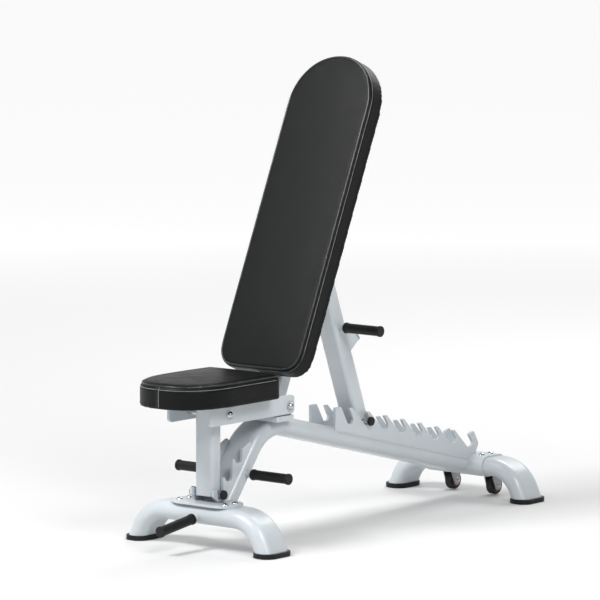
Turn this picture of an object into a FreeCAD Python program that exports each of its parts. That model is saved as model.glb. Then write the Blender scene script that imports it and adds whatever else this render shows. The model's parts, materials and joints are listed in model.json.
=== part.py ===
"""Adjustable weight bench: welded frame, tilting seat on a rack post, reclining back on a ladder strut.

Millimetres. +X is the bench's right, +Y its rear, +Z up. The design is laid out with Y = 0 at the
middle of the front foot tube, and every sub-part is shifted once, when it is written, so that the
origin stands on the floor under the middle of the whole bench.
"""

import FreeCAD
import Part

import math
import os

from FreeCAD import Vector

# ---------------------------------------------------------------- driving dimensions: frame
TUBE_WIDTH = 100.0              # flat-oval frame tube, across its wide side
TUBE_DEPTH = 50.0               # the same tube, across its thin side
TUBE_WALL = 3.0
PLATE = 8.0                     # rack and ladder plates, seat plates, bracket ears
FOOT_SPACING = 1100.0           # front foot tube to rear foot tube
FOOT_AXIS_HEIGHT = 90.5         # centre line of a foot tube's level middle
FOOT_LEVEL_HALF = 118.0         # half of the level middle
FOOT_BEND_RADIUS = 96.0
FOOT_BEND_ANGLE = 65.0          # legs below horizontal
CAP_HEIGHT = 13.0               # rubber foot caps
CAP_SOLE = 4.0                  # rubber under the tube's end
CAP_WALL = 3.5                  # rubber beside the tube
CAP_FLAT = 4.0                  # half of the straight edge across a foot cap's ends
CAP_EDGE = 1.5
LEG_ANGLE = 52.8                # main tube's front leg above horizontal
LEG_FRONT_Y = 20.814            # where the leg's front face meets the mount plate
SPINE_RISE = 158.0              # centre line above the mount plate's top, at SPINE_Y
SPINE_Y = 316.0
SPINE_BEND_RADIUS = 129.0
MOUNT_PLATE_THICK = 6.0
MOUNT_PLATE_HALF = 103.0
MOUNT_PLATE_FRONT = -50.0
MOUNT_PLATE_REAR = 50.0
LEG_SKIRT = 17.5                # main tube's leg behind the plate, below the plate's top
MOUNT_PLATE_CORNER = 42.0
MOUNT_PLATE_EDGE = 2.0
MOUNT_BOLT_X = 78.0
MOUNT_BOLT_Y = 20.0
TUBE_INTO_SLEEVE = 5.3          # main tube's end above the rear foot's centre line
SLEEVE_HALF = 101.0             # rear sleeve round the rear foot tube
SLEEVE_WALL = 4.0
SLEEVE_REACH = 12.0             # main tube's end behind the foot tube's front edge
SLEEVE_BOLT_X = 76.0
SLEEVE_BOLT_Y = 20.0

# ---------------------------------------------------------------- driving dimensions: pivots
PIVOT_Y = 248.6                 # common pivot of the seat and the back
PIVOT_RISE = 228.3              # and above the mount plate's top
PIN_RADIUS = 10.0               # locking pins of the post and the strut
PIN_NOTCH_CLEARANCE = 1.0       # notch floor below the pin
BOLT_RADIUS = 6.0               # pivot bolts
RUNNING_CLEARANCE = 0.05        # bolt shank in a turning bore, on the radius
SIDE_CLEARANCE = 1.0            # turning parts beside their brackets
BOSS_WALL = 4.0                 # bosses and spacers round a pivot bolt
BUSH_WALL = 6.0
PIN_SIDE_CLEARANCE = 1.0        # pin shafts and pin caps beside the notched plates
CAP_RADIUS = 12.5               # caps on the locking pins
CAP_LENGTH = 7.0
CAP_ROUND = 2.5
PIN_STUB = 7.0                  # pin between a plate and its cap

# ---------------------------------------------------------------- driving dimensions: seat
SEAT_PLATE_BESIDE = 28.0        # seat side plates beside the back tube
SEAT_PLATE_FRONT = -73.0
SEAT_PLATE_REAR = 266.0
SEAT_PLATE_BELOW = 19.8         # lower edge below the pivot
SEAT_PLATE_ABOVE = 29.2         # upper edge above it
CROSS_PLATE = 6.0               # plates under the seat board
POST_BOLT_Y = 3.7
POST_BOLT_RISE = 4.4            # above the pivot
POST_WIDTH = 60.0
POST_DEPTH = 40.0
POST_CORNER = 10.0
POST_WALL = 2.5
POST_HEAD = 14.0                # post above its bolt
POST_TOE = 5.0                  # post below its pin
POST_LENGTH = 212.0             # bolt to pin
POST_FOOT_TURN = 0.88           # post's swing per degree of seat tilt, against the floor
SEAT_TILT_STEPS = (0.0, 9.5, 18.5)
SEAT_PAD_HALF = 127.0
SEAT_PAD_REAR = 156.0
SEAT_PAD_SIDE_END = -20.0       # where the straight sides turn into the round front
SEAT_PAD_FRONT = -198.0
SEAT_PAD_THICK = 66.0
SEAT_PAD_CORNER = 22.0
SEAT_PAD_EDGE = 20.0
SEAT_FRONT_POWER = 2.5          # squareness of the round front
BOARD_THICK = 12.0
BOARD_INSET = 8.0

# ---------------------------------------------------------------- driving dimensions: back
BACK_ANGLE = 66.2               # back above horizontal, as built
BACK_TUBE_WIDTH = 76.0
BACK_TUBE_FRONT = 25.0          # front face of the tube ahead of the pivot line
BACK_TUBE_REAR = 20.0           # rear face of the tube behind it
BACK_TUBE_START = -9.0          # along the back, from the pivot
BACK_TUBE_END = 720.0
BACK_TUBE_CORNER = 8.0
PLUG_LID = 3.0                  # plugs in the back tube's ends
PLUG_STEM = 10.0
BACK_PLATE_THICK = 7.0
BACK_PLATE_END = 20.0           # plate beyond its screws
BACK_PLATE_CORNER = 6.0
BACK_PAD_START = 68.0
BACK_PAD_END = 951.0
BACK_PAD_WIDTH = 280.0
BACK_PAD_THICK = 58.0
BACK_PAD_CORNER = 52.0
BACK_PAD_EDGE = 9.0
STRUT_PIVOT_ALONG = 391.0       # strut pivot along the back
STRUT_PIVOT_BEHIND = 50.8       # and behind the pivot line
EAR_THICK = 6.0
EAR_ROOT = 26.0                 # half of an ear where it leaves the tube
EAR_LAP = 14.0                  # ear welded up the tube's side
EAR_TIP = 9.0                   # ear beyond its bolt's bore

# ---------------------------------------------------------------- driving dimensions: strut
STRUT_PIN_Y = 611.0             # locking pin, as built in the second notch
PIN_ABOVE_TUBE = 34.6           # its centre above the main tube's top
STRUT_WIDTH = 60.0
STRUT_DEPTH = 50.0
STRUT_CORNER = 10.0
STRUT_WALL = 2.5
STRUT_HEAD = 11.0               # strut beyond its pivot
STRUT_FOOT = 12.0               # strut beyond its pin
LADDER_GAP = 8.0                # ladder plates beside the strut
LADDER_FRONT = 472.0
LADDER_RISE = 50.8              # ladder's front above the main tube
NOTCH_PITCH = 75.5              # along Y
NOTCH_COUNT = 8
FIRST_NOTCH_EXTRA = 7.0         # the steepest notch is this much deeper
HOOK_RISE = 25.0                # hook tips above the pin's centre
LADDER_TAIL = 7.0               # ladder's end ahead of the rear foot tube's middle
LADDER_TAIL_RISE = 4.0          # ladder's tail above the main tube
RACK_GAP = 4.0                  # seat rack plates beside the post
STRUT_HANDLE_ALONG = 169.0      # from the strut pivot down to the handle
BUMPER_ALONG = 245.0
BUMPER_ANGLE = 39.5             # bumper above horizontal, as built
BUMPER_REACH = 72.0             # strut's centre line to the bumper's face
BUMPER_WIDTH = 44.0
BUMPER_DEPTH = 40.0
BUMPER_CORNER = 6.0
BUMPER_CAP = 6.0
BUMPER_LIP = 1.0                # cap beyond the stub's sides

# ---------------------------------------------------------------- driving dimensions: grips
GRIP_BAR_RADIUS = 10.5
GRIP_RADIUS = 13.2
GRIP_FLANGE_RADIUS = 14.8
GRIP_FLANGE = 7.0
GRIP_FLANGE_ROUND = 1.3
GRIP_END = 4.0                  # rubber beyond the bar's end
SIDE_BAR_Y = 104.0
SIDE_BAR_RISE = 63.5            # above the mount plate's top
SIDE_GRIP_FROM = 67.0
SIDE_GRIP_TO = 191.0
STRUT_GRIP_FROM = 48.0
STRUT_GRIP_TO = 169.0
FRONT_HANDLE_DROP = 8.0         # degrees below horizontal
FRONT_GRIP_FROM = 60.0          # along the handle, from the foot tube's centre line
FRONT_GRIP_TO = 190.0

# ---------------------------------------------------------------- driving dimensions: casters
CASTER_X = 72.0
WHEEL_BEHIND = 42.0             # wheel behind the rear foot tube's middle
WHEEL_RADIUS = 25.0
WHEEL_CLEARANCE = 2.0           # wheels above the floor while the bench stands
WHEEL_WIDTH = 22.0
HUB_RADIUS = 16.0
HUB_GROOVE = 1.5
HUB_RIM = 3.0                   # flat rings beside the dished face
TYRE_ROUND = 4.0
FORK_THICK = 3.0
FORK_GAP = 2.0                  # wheel to fork, each side
FORK_END_RADIUS = 12.0
FORK_FRONT = 17.0               # fork cheeks, behind the rear foot tube's middle
FORK_REAR = 56.0
FORK_LAP = 28.0                 # cheeks up the sleeve's rear
AXLE_RADIUS = 4.0
AXLE_HEAD_RADIUS = 7.0
AXLE_HEAD_RISE = 4.0

# ---------------------------------------------------------------- driving dimensions: fasteners
DOME_RADIUS = 10.5
DOME_RISE = 7.0
WASHER_RADIUS = 13.5
WASHER_THICK = 2.0
NUT_DEPTH = 4.0                 # bolt's thread inside its domed nut
SMALL_BOLT_RADIUS = 5.0
SMALL_HEAD_RADIUS = 9.0
SMALL_HEAD_RISE = 5.5
SCREW_RADIUS = 4.0
SCREW_HEAD_RADIUS = 7.5
SCREW_HEAD_RISE = 4.0
SCREW_SHORT = 2.0               # board left beyond a screw's point
SEAT_SCREW_X = 48.0
HOLE_CLEARANCE = 0.5            # bolts in clearance holes, on the radius

# ---------------------------------------------------------------- derived places
FAR = 2000.0                    # beyond every edge of the bench, for cutting tools
TUBE_RADIUS = TUBE_DEPTH / 2
PLATE_TOP = FOOT_AXIS_HEIGHT + TUBE_RADIUS + MOUNT_PLATE_THICK
LEG_FOOT_Y = LEG_FRONT_Y + TUBE_RADIUS / math.sin(math.radians(LEG_ANGLE))
SPINE_HEIGHT = PLATE_TOP + SPINE_RISE
PIVOT_Z = PLATE_TOP + PIVOT_RISE
SEAT_PLATE_BOTTOM = PIVOT_Z - SEAT_PLATE_BELOW
SEAT_PLATE_TOP = PIVOT_Z + SEAT_PLATE_ABOVE
POST_BOLT_Z = PIVOT_Z + POST_BOLT_RISE
SIDE_BAR_Z = PLATE_TOP + SIDE_BAR_RISE
WHEEL_Z = WHEEL_RADIUS + WHEEL_CLEARANCE
SLEEVE_BOTTOM = FOOT_AXIS_HEIGHT - TUBE_RADIUS - SLEEVE_WALL
SLEEVE_TOP = FOOT_AXIS_HEIGHT + TUBE_RADIUS + SLEEVE_WALL
SPINE_FALL = (SPINE_HEIGHT - FOOT_AXIS_HEIGHT - TUBE_INTO_SLEEVE) / (FOOT_SPACING - TUBE_WIDTH / 2 - SPINE_Y)
SPINE_SLOPE = math.degrees(math.atan(SPINE_FALL))
SPINE_TOP = TUBE_RADIUS / math.cos(math.radians(SPINE_SLOPE))
WHEEL_Y = FOOT_SPACING + WHEEL_BEHIND
PIVOT = Vector(0, PIVOT_Y, PIVOT_Z)
POST_BOLT = Vector(0, POST_BOLT_Y, POST_BOLT_Z)
POST_PIN = POST_BOLT - Vector(0, 0, POST_LENGTH)
SEAT_BOARD_BOTTOM = SEAT_PLATE_TOP + CROSS_PLATE
EAR_INNER = BACK_TUBE_WIDTH / 2
SEAT_PLATE_INNER = BACK_TUBE_WIDTH / 2 + SEAT_PLATE_BESIDE
RACK_INNER = POST_WIDTH / 2 + RACK_GAP
LADDER_INNER = STRUT_WIDTH / 2 + LADDER_GAP
BRACKET_OUTER = SEAT_PLATE_INNER - 2 * SIDE_CLEARANCE
BRACKET_INNER = BRACKET_OUTER - PLATE
BACK_BOARD_AT = BACK_TUBE_FRONT + BACK_PLATE_THICK


def spine_height(y):
    """Height of the main tube's centre line on its long rear run."""
    return SPINE_HEIGHT - (y - SPINE_Y) * SPINE_FALL


STRUT_PIN = Vector(0, STRUT_PIN_Y, spine_height(STRUT_PIN_Y) + SPINE_TOP + PIN_ABOVE_TUBE)
LADDER_TOP = spine_height(LADDER_FRONT) + SPINE_TOP + LADDER_RISE


def unit(degrees):
    """Unit vector in the side view, turned up from the rear."""
    return Vector(0, math.cos(math.radians(degrees)), math.sin(math.radians(degrees)))


def turned(point, centre, degrees):
    """Turn a side-view point about a centre, by the right-hand rule about +X."""
    spin = FreeCAD.Rotation(Vector(1, 0, 0), degrees)
    return centre + spin.multVec(point - centre)


BACK_UP = unit(BACK_ANGLE)
BACK_AHEAD = unit(BACK_ANGLE + 90)
STRUT_PIVOT = PIVOT + BACK_UP * STRUT_PIVOT_ALONG - BACK_AHEAD * STRUT_PIVOT_BEHIND
STRUT_LENGTH = (STRUT_PIN - STRUT_PIVOT).Length
STRUT_DOWN = (STRUT_PIN - STRUT_PIVOT).normalize()
STRUT_BEHIND = Vector(0, -STRUT_DOWN.z, STRUT_DOWN.y)
HANDLE_AHEAD = unit(180 + FRONT_HANDLE_DROP)
FOOT_AXIS = Vector(0, 0, FOOT_AXIS_HEIGHT)
STRUT_HANDLE = STRUT_PIVOT + STRUT_DOWN * STRUT_HANDLE_ALONG


def notch_centre(index):
    """Centre of the strut's pin in a ladder notch, counted from 0 at the front."""
    steps = index - 1
    fall = SPINE_FALL * NOTCH_PITCH
    extra = FIRST_NOTCH_EXTRA if index == 0 else 0.0
    return STRUT_PIN + Vector(0, steps * NOTCH_PITCH, -steps * fall - extra)


def rack_centre(tilt):
    """Centre of the post's pin when the seat's front is tilted up by some degrees."""
    head = turned(POST_BOLT, PIVOT, -tilt)
    return head + unit(-90 + POST_FOOT_TURN * tilt) * POST_LENGTH


# Front and rear ends of the bench, which the origin lies midway between.
HANDLE_TIP = -(FRONT_GRIP_TO * math.cos(math.radians(FRONT_HANDLE_DROP))
               + GRIP_FLANGE_RADIUS * math.sin(math.radians(FRONT_HANDLE_DROP)))
FRONT_TIP = min(HANDLE_TIP, SEAT_PAD_FRONT)
REAR_TIP = max(WHEEL_Y + WHEEL_RADIUS, FOOT_SPACING + TUBE_WIDTH / 2 + SLEEVE_WALL)
ORIGIN_Y = (FRONT_TIP + REAR_TIP) / 2


# ---------------------------------------------------------------- shape helpers
def rounded(points, closed=True):
    """Wire through side-view or plan points; each is (vector, corner radius)."""
    edges = []
    count = len(points)
    starts, ends = [], []
    for i, (corner, radius) in enumerate(points):
        inner = closed or 0 < i < count - 1
        if not inner or radius <= 0:
            starts.append(corner)
            ends.append(corner)
            continue
        before = (points[i - 1][0] - corner).normalize()
        after = (points[(i + 1) % count][0] - corner).normalize()
        half = before.getAngle(after) / 2
        reach = radius / math.tan(half)
        middle = (before + after).normalize() * (radius / math.sin(half) - radius)
        starts.append(corner + before * reach)
        ends.append(corner + after * reach)
        edges.append(Part.Arc(starts[-1], corner + middle, ends[-1]).toShape())
    for i in range(count if closed else count - 1):
        a, b = ends[i], starts[(i + 1) % count]
        if (a - b).Length > 1e-6:
            edges.append(Part.LineSegment(a, b).toShape())
    return Part.Wire(Part.__sortEdges__(edges))


def side_plate(points, inner, thick, side=1):
    """Plate cut to a side-view outline of (y, z, radius) points, on one side of the bench."""
    wire = rounded([(Vector(0, y, z), r) for y, z, r in points])
    face = Part.Face(wire)
    start = inner if side > 0 else -inner - thick
    return face.extrude(Vector(thick, 0, 0)).translated(Vector(start, 0, 0))


def rectangle(width, depth, corner, at, across, along):
    """Rounded rectangle centred at a point, with its two directions."""
    w, d = across * (width / 2), along * (depth / 2)
    corners = [at - w - d, at + w - d, at + w + d, at - w + d]
    return rounded([(p, corner) for p in corners])


def flat_oval(width, depth, at, across, along):
    """Flat-oval tube section: two flats joined by half rounds."""
    w, d = across * (width / 2 - depth / 2), along * (depth / 2)
    tip = across * (width / 2)
    edges = [
        Part.LineSegment(at - w - d, at + w - d).toShape(),
        Part.Arc(at + w - d, at + tip, at + w + d).toShape(),
        Part.LineSegment(at + w + d, at - w + d).toShape(),
        Part.Arc(at - w + d, at - tip, at - w - d).toShape(),
    ]
    return Part.Wire(edges)


def swept(section, path):
    """Solid swept along a path of straights and tangent arcs."""
    return path.makePipeShell([section], True, False)


def bar(start, end, radius):
    """Round bar between two points."""
    way = end - start
    return Part.makeCylinder(radius, way.Length, start, way)


def ring(start, end, outer, inner):
    """Tube between two points."""
    return bar(start, end, outer).cut(bar(start, end, inner))


def block(x0, x1, y0, y1, z0, z1):
    return Part.makeBox(x1 - x0, y1 - y0, z1 - z0, Vector(x0, y0, z0))


def across(point, x):
    """The same side-view point at another X."""
    return Vector(x, point.y, point.z)


def bore(centre, radius):
    """Bar right across the bench, for cutting a bore or a cross hole."""
    return bar(across(centre, -FAR), across(centre, FAR), radius)


def headed(seat, way, head_radius, rise, shank_radius, length):
    """Domed head standing on a face, with its shank beyond it along the way, turned in one piece."""
    reach = (head_radius ** 2 + rise ** 2) / (2 * rise)
    half = math.asin(head_radius / reach) / 2
    top, rim = Vector(0, 0, -rise), Vector(head_radius, 0, 0)
    middle = Vector(reach * math.sin(half), 0, reach - rise - reach * math.cos(half))
    outline = [rim, Vector(shank_radius, 0, 0), Vector(shank_radius, 0, length),
               Vector(0, 0, length), top]
    edges = [Part.Arc(top, middle, rim).toShape()]
    edges += [Part.LineSegment(p, q).toShape() for p, q in zip(outline, outline[1:])]
    solid = Part.Face(Part.Wire(edges)).revolve(Vector(), Vector(0, 0, 1), 360)
    solid.Placement = FreeCAD.Placement(seat, FreeCAD.Rotation(Vector(0, 0, 1), way))
    return solid


def beam(section, start, end):
    """Straight prism of a section wire drawn at the start."""
    return Part.Face(section).extrude(end - start)


def tube(outer, inner, start, end):
    return beam(outer, start, end).cut(beam(inner, start, end))


# ---------------------------------------------------------------- frame tubes
def foot_path(y):
    """Centre line of a foot tube: level in the middle, bent down at both ends."""
    down = math.radians(FOOT_BEND_ANGLE)
    knee = FOOT_LEVEL_HALF + FOOT_BEND_RADIUS * math.tan(down / 2)
    drop = FOOT_AXIS_HEIGHT + TUBE_WIDTH / 2
    toe = knee + drop / math.tan(down)
    low = FOOT_AXIS_HEIGHT - drop
    return rounded([
        (Vector(-toe, y, low), 0),
        (Vector(-knee, y, FOOT_AXIS_HEIGHT), FOOT_BEND_RADIUS),
        (Vector(knee, y, FOOT_AXIS_HEIGHT), FOOT_BEND_RADIUS),
        (Vector(toe, y, low), 0),
    ], closed=False), Vector(-toe, y, low), Vector(math.sin(down), 0, -math.cos(down))


def foot_solid(y, inset=0.0):
    """Foot tube filled solid, with its section shrunk by an inset."""
    path, start, normal = foot_path(y)
    section = flat_oval(TUBE_WIDTH - 2 * inset, TUBE_DEPTH - 2 * inset, start,
                        Vector(0, 1, 0), normal)
    return swept(section, path)


def above(z):
    """All the space above a height, for trimming."""
    return block(-FAR, FAR, -FAR, FAR, z, FAR)


def main_path():
    """Centre line of the main tube: up the front leg, over the bend, down to the rear."""
    leg = math.tan(math.radians(LEG_ANGLE))
    top = (spine_height(0) - PLATE_TOP + LEG_FOOT_Y * leg) / (leg + SPINE_FALL)
    low = PLATE_TOP - TUBE_WIDTH
    points = [
        Vector(0, LEG_FOOT_Y - TUBE_WIDTH / leg, low),
        Vector(0, top, spine_height(top)),
        Vector(0, FOOT_SPACING, spine_height(FOOT_SPACING)),
    ]
    return rounded([(points[0], 0), (points[1], SPINE_BEND_RADIUS), (points[2], 0)],
                   closed=False), points[0]


def main_solid(inset=0.0):
    path, start = main_path()
    section = flat_oval(TUBE_WIDTH - 2 * inset, TUBE_DEPTH - 2 * inset, start,
                        Vector(1, 0, 0), unit(LEG_ANGLE + 90))
    return swept(section, path)


def sleeve_solid():
    at = Vector(-SLEEVE_HALF, FOOT_SPACING, FOOT_AXIS_HEIGHT)
    section = flat_oval(TUBE_WIDTH + 2 * SLEEVE_WALL, TUBE_DEPTH + 2 * SLEEVE_WALL, at,
                        Vector(0, 1, 0), Vector(0, 0, 1))
    return beam(section, at, Vector(SLEEVE_HALF, FOOT_SPACING, FOOT_AXIS_HEIGHT))


FOOT_OUTER = {"front": foot_solid(0.0), "rear": foot_solid(FOOT_SPACING)}
SLEEVE_OUTER = sleeve_solid()


def main_outer():
    """Main tube filled solid, coped over the front plate and foot tube and cut at the sleeve."""
    whole = main_solid()
    rear = FOOT_SPACING - TUBE_WIDTH / 2 + SLEEVE_REACH
    keep = block(-TUBE_WIDTH, TUBE_WIDTH, MOUNT_PLATE_REAR, rear, PLATE_TOP - LEG_SKIRT, SPINE_HEIGHT * 2)
    keep = keep.fuse(block(-TUBE_WIDTH, TUBE_WIDTH, MOUNT_PLATE_FRONT, MOUNT_PLATE_REAR,
                           PLATE_TOP, SPINE_HEIGHT * 2))
    keep = keep.fuse(block(-TUBE_WIDTH, TUBE_WIDTH, FOOT_SPACING / 2, rear, 0, PLATE_TOP))
    return whole.common(keep).cut(FOOT_OUTER["front"])


MAIN_OUTER = main_outer()

MOUNT_BOLTS = [(x, y) for x in (-MOUNT_BOLT_X, MOUNT_BOLT_X) for y in (-MOUNT_BOLT_Y, MOUNT_BOLT_Y)]
SLEEVE_BOLTS = [(x, FOOT_SPACING + y) for x in (-SLEEVE_BOLT_X, SLEEVE_BOLT_X)
                for y in (-SLEEVE_BOLT_Y, SLEEVE_BOLT_Y)]


def small_bolts(places, seat, tube_top):
    """Domed bolts through a plate and the wall of the tube under it."""
    solids = []
    for x, y in places:
        solids.append(headed(Vector(x, y, seat), Vector(0, 0, -1), SMALL_HEAD_RADIUS, SMALL_HEAD_RISE,
                             SMALL_BOLT_RADIUS, seat - tube_top + 2 * TUBE_WALL))
    return Part.makeCompound(solids)


def drilled(shape, places, low, high):
    """Clearance holes for upright bolts."""
    for x, y in places:
        shape = shape.cut(bar(Vector(x, y, low), Vector(x, y, high),
                              SMALL_BOLT_RADIUS + HOLE_CLEARANCE))
    return shape


def foot_tube(name):
    y = 0.0 if name == "front" else FOOT_SPACING
    shape = FOOT_OUTER[name].cut(foot_solid(y, TUBE_WALL)).common(above(CAP_SOLE))
    top = FOOT_AXIS_HEIGHT + TUBE_RADIUS
    places = MOUNT_BOLTS if name == "front" else SLEEVE_BOLTS
    shape = drilled(shape, places, top - 2 * TUBE_WALL, top + 1)
    if name == "front":
        shape = shape.cut(bar(FOOT_AXIS, FOOT_AXIS + HANDLE_AHEAD * TUBE_WIDTH, GRIP_BAR_RADIUS))
    return shape


def foot_cap(name, side):
    """Rubber cap: a sole with a low wall round the leg's end."""
    y = 0.0 if name == "front" else FOOT_SPACING
    slope = math.radians(FOOT_BEND_ANGLE)
    knee = FOOT_LEVEL_HALF + FOOT_BEND_RADIUS * math.tan(slope / 2)
    centre = side * (knee + (FOOT_AXIS_HEIGHT - CAP_HEIGHT / 2) / math.tan(slope))
    half_x = TUBE_RADIUS / math.sin(slope) + CAP_WALL + CAP_HEIGHT / 2 / math.tan(slope)
    half_y = TUBE_WIDTH / 2 + CAP_WALL
    section = rectangle(2 * half_x, 2 * half_y, half_x - CAP_FLAT, Vector(centre, y, 0),
                        Vector(1, 0, 0), Vector(0, 1, 0))
    cap = Part.Face(section).extrude(Vector(0, 0, CAP_HEIGHT))
    low = [e for e in cap.Edges if e.BoundBox.ZMax < 0.01]
    high = [e for e in cap.Edges if e.BoundBox.ZMin > CAP_HEIGHT - 0.01]
    cap = cap.makeFillet(CAP_EDGE, low + high)
    return cap.cut(FOOT_OUTER[name].common(above(CAP_SOLE)))


def main_tube():
    inner = main_solid(TUBE_WALL)
    shape = MAIN_OUTER.cut(inner).cut(SLEEVE_OUTER)
    side_bar = Vector(0, SIDE_BAR_Y, SIDE_BAR_Z)
    shape = shape.cut(bar(across(side_bar, -SIDE_GRIP_TO), across(side_bar, SIDE_GRIP_TO),
                          GRIP_BAR_RADIUS))
    return max(shape.Solids, key=lambda s: s.Volume)


def mount_plate():
    middle_y = (MOUNT_PLATE_FRONT + MOUNT_PLATE_REAR) / 2
    section = rectangle(2 * MOUNT_PLATE_HALF, MOUNT_PLATE_REAR - MOUNT_PLATE_FRONT,
                        MOUNT_PLATE_CORNER, Vector(0, middle_y, PLATE_TOP - MOUNT_PLATE_THICK),
                        Vector(1, 0, 0), Vector(0, 1, 0))
    plate = Part.Face(section).extrude(Vector(0, 0, MOUNT_PLATE_THICK))
    rim = [e for e in plate.Edges if e.BoundBox.ZMin > PLATE_TOP - 0.01]
    plate = plate.makeFillet(MOUNT_PLATE_EDGE, rim)
    return drilled(plate, MOUNT_BOLTS, 0, PLATE_TOP + 1)


def rear_sleeve():
    shape = SLEEVE_OUTER.cut(FOOT_OUTER["rear"])
    return drilled(shape, SLEEVE_BOLTS, FOOT_AXIS_HEIGHT, SLEEVE_TOP + 1)


def sleeve_bolts():
    return small_bolts(SLEEVE_BOLTS, SLEEVE_TOP, FOOT_AXIS_HEIGHT + TUBE_RADIUS)


# ---------------------------------------------------------------- racks, ladder and bracket
def seat_rack(side):
    """Notched plate beside the post, welded to the leg and the mount plate."""
    floor = PIN_RADIUS + PIN_NOTCH_CLEARANCE
    first = rack_centre(SEAT_TILT_STEPS[0])
    points = [
        (first.y - 4.0, PLATE_TOP, 0),
        (first.y - 26.0, first.z - 4.0, 5.0),
        (first.y - 26.0, first.z + 14.0, 4.0),
        (first.y - 13.0, first.z + 14.0, 2.0),
    ]
    centres = [rack_centre(tilt) for tilt in SEAT_TILT_STEPS]
    for here, after in zip(centres, centres[1:] + [None]):
        points.append((here.y - floor + 1.0, here.z - floor, 6.0))
        points.append((here.y + floor + 1.0, here.z - floor, 9.0))
        if after:
            points.append((after.y - 24.0, after.z + 8.0, 3.0))
    last = centres[-1]
    points += [
        (last.y + floor + 6.0, last.z + 26.0, 3.0),
        (last.y + floor + 34.0, last.z + 40.0, 0),
        (last.y + floor + 52.0, last.z + 20.0, 0),
        (LEG_FOOT_Y, PLATE_TOP, 0),
    ]
    plate = side_plate(points, RACK_INNER, PLATE, side)
    return max(plate.cut(MAIN_OUTER).Solids, key=lambda s: s.Volume)


def back_ladder(side):
    """Hooked plate beside the strut, welded along the top of the main tube."""
    floor = PIN_RADIUS + PIN_NOTCH_CLEARANCE
    bury = TUBE_RADIUS / 2
    points = [
        (LADDER_FRONT, spine_height(LADDER_FRONT) + SPINE_TOP - bury, 0),
        (LADDER_FRONT, LADDER_TOP, 3.0),
        (LADDER_FRONT + 24.0, LADDER_TOP, 3.0),
    ]
    for index in range(NOTCH_COUNT):
        here = notch_centre(index)
        extra = FIRST_NOTCH_EXTRA if index == 0 else 0.0
        tip = here.z + HOOK_RISE + extra
        last = index == NOTCH_COUNT - 1
        points.append((here.y - floor + 1.0, here.z - floor, 6.0))
        points.append((here.y + floor + 2.0, here.z - floor, 8.0))
        points.append((here.y + floor + 2.0, here.z + 1.0, 4.0))
        points.append((here.y - 4.0, tip, 2.0))
        points.append((here.y + (18.0 if last else 7.0), tip + (6.0 if last else 0.0), 3.0))
    end = notch_centre(NOTCH_COUNT - 1)
    tail = FOOT_SPACING - LADDER_TAIL
    tube_top = spine_height(tail) + SPINE_TOP
    points += [
        (end.y + 40.0, end.z - 6.0, 9.0),
        (end.y + 29.0, end.z - 26.0, 4.0),
        (tail, tube_top + LADDER_TAIL_RISE, 0),
        (tail, tube_top - bury, 0),
    ]
    plate = side_plate(points, LADDER_INNER, PLATE, side)
    return max(plate.cut(MAIN_OUTER).cut(SLEEVE_OUTER).Solids, key=lambda s: s.Volume)


BRACKET_FRONT = PIVOT_Y - 54.0
BRACKET_REAR = PIVOT_Y + 16.0
BRACKET_LOW = PIVOT_Z - 38.0
BRACKET_HIGH = PIVOT_Z - 24.0
BRACKET_EDGE = SEAT_PLATE_INNER + PLATE
BRACKET_CORNER = 3.0


def pivot_bracket():
    """Saddle on the main tube with two ears that carry the pivot bolt."""
    base = block(-BRACKET_EDGE, BRACKET_EDGE, BRACKET_FRONT, BRACKET_REAR,
                 BRACKET_LOW, BRACKET_HIGH)
    base = base.makeFillet(BRACKET_CORNER, [e for e in base.Edges if abs(e.BoundBox.ZLength) > 10])
    ear_points = [
        (BRACKET_FRONT + 22.0, BRACKET_HIGH - 4.0, 0),
        (PIVOT_Y - 17.0, PIVOT_Z + 14.0, 16.0),
        (PIVOT_Y + 16.0, PIVOT_Z + 14.0, 15.0),
        (BRACKET_REAR, BRACKET_HIGH - 4.0, 0),
    ]
    shape = base
    for side in (-1, 1):
        shape = shape.fuse(side_plate(ear_points, BRACKET_INNER, PLATE, side))
    shape = shape.cut(bore(PIVOT, BOLT_RADIUS))
    return shape.cut(MAIN_OUTER).removeSplitter()


def through_bolt(centre, reach):
    """Long pivot bolt with a domed head, and its domed nut, each on a washer."""
    right, left = across(centre, reach), across(centre, -reach)
    x = Vector(1, 0, 0)
    washer = x * WASHER_THICK
    bolt = headed(right + washer, -x, DOME_RADIUS, DOME_RISE, BOLT_RADIUS,
                  2 * (reach + WASHER_THICK) + NUT_DEPTH)
    nut = headed(left - washer, x, DOME_RADIUS, DOME_RISE, BOLT_RADIUS, NUT_DEPTH)
    nut = nut.cut(bar(left - washer - x * NUT_DEPTH, left + x * NUT_DEPTH, BOLT_RADIUS))
    washers = [ring(right, right + washer, WASHER_RADIUS, BOLT_RADIUS),
               ring(left, left - washer, WASHER_RADIUS, BOLT_RADIUS)]
    return Part.makeCompound([bolt, nut] + washers)


# ---------------------------------------------------------------- grips and handles
def grip(start, end):
    """Rubber grip with a flange at each end, over a bar that stops short of its outer end."""
    way = (end - start).normalize()
    body = bar(start, end, GRIP_RADIUS)
    for a, b in ((start, start + way * GRIP_FLANGE), (end - way * GRIP_FLANGE, end)):
        body = body.fuse(bar(a, b, GRIP_FLANGE_RADIUS))
    edges = [e for e in body.Edges if isinstance(e.Curve, Part.Circle)
             and abs(e.Curve.Radius - GRIP_FLANGE_RADIUS) < 0.01]
    body = body.makeFillet(GRIP_FLANGE_ROUND, edges)
    return body.cut(bar(start, end - way * GRIP_END, GRIP_BAR_RADIUS))


def cross_bar(centre, reach):
    return bar(across(centre, GRIP_END - reach), across(centre, reach - GRIP_END), GRIP_BAR_RADIUS)


SIDE_BAR = Vector(0, SIDE_BAR_Y, SIDE_BAR_Z)


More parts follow.
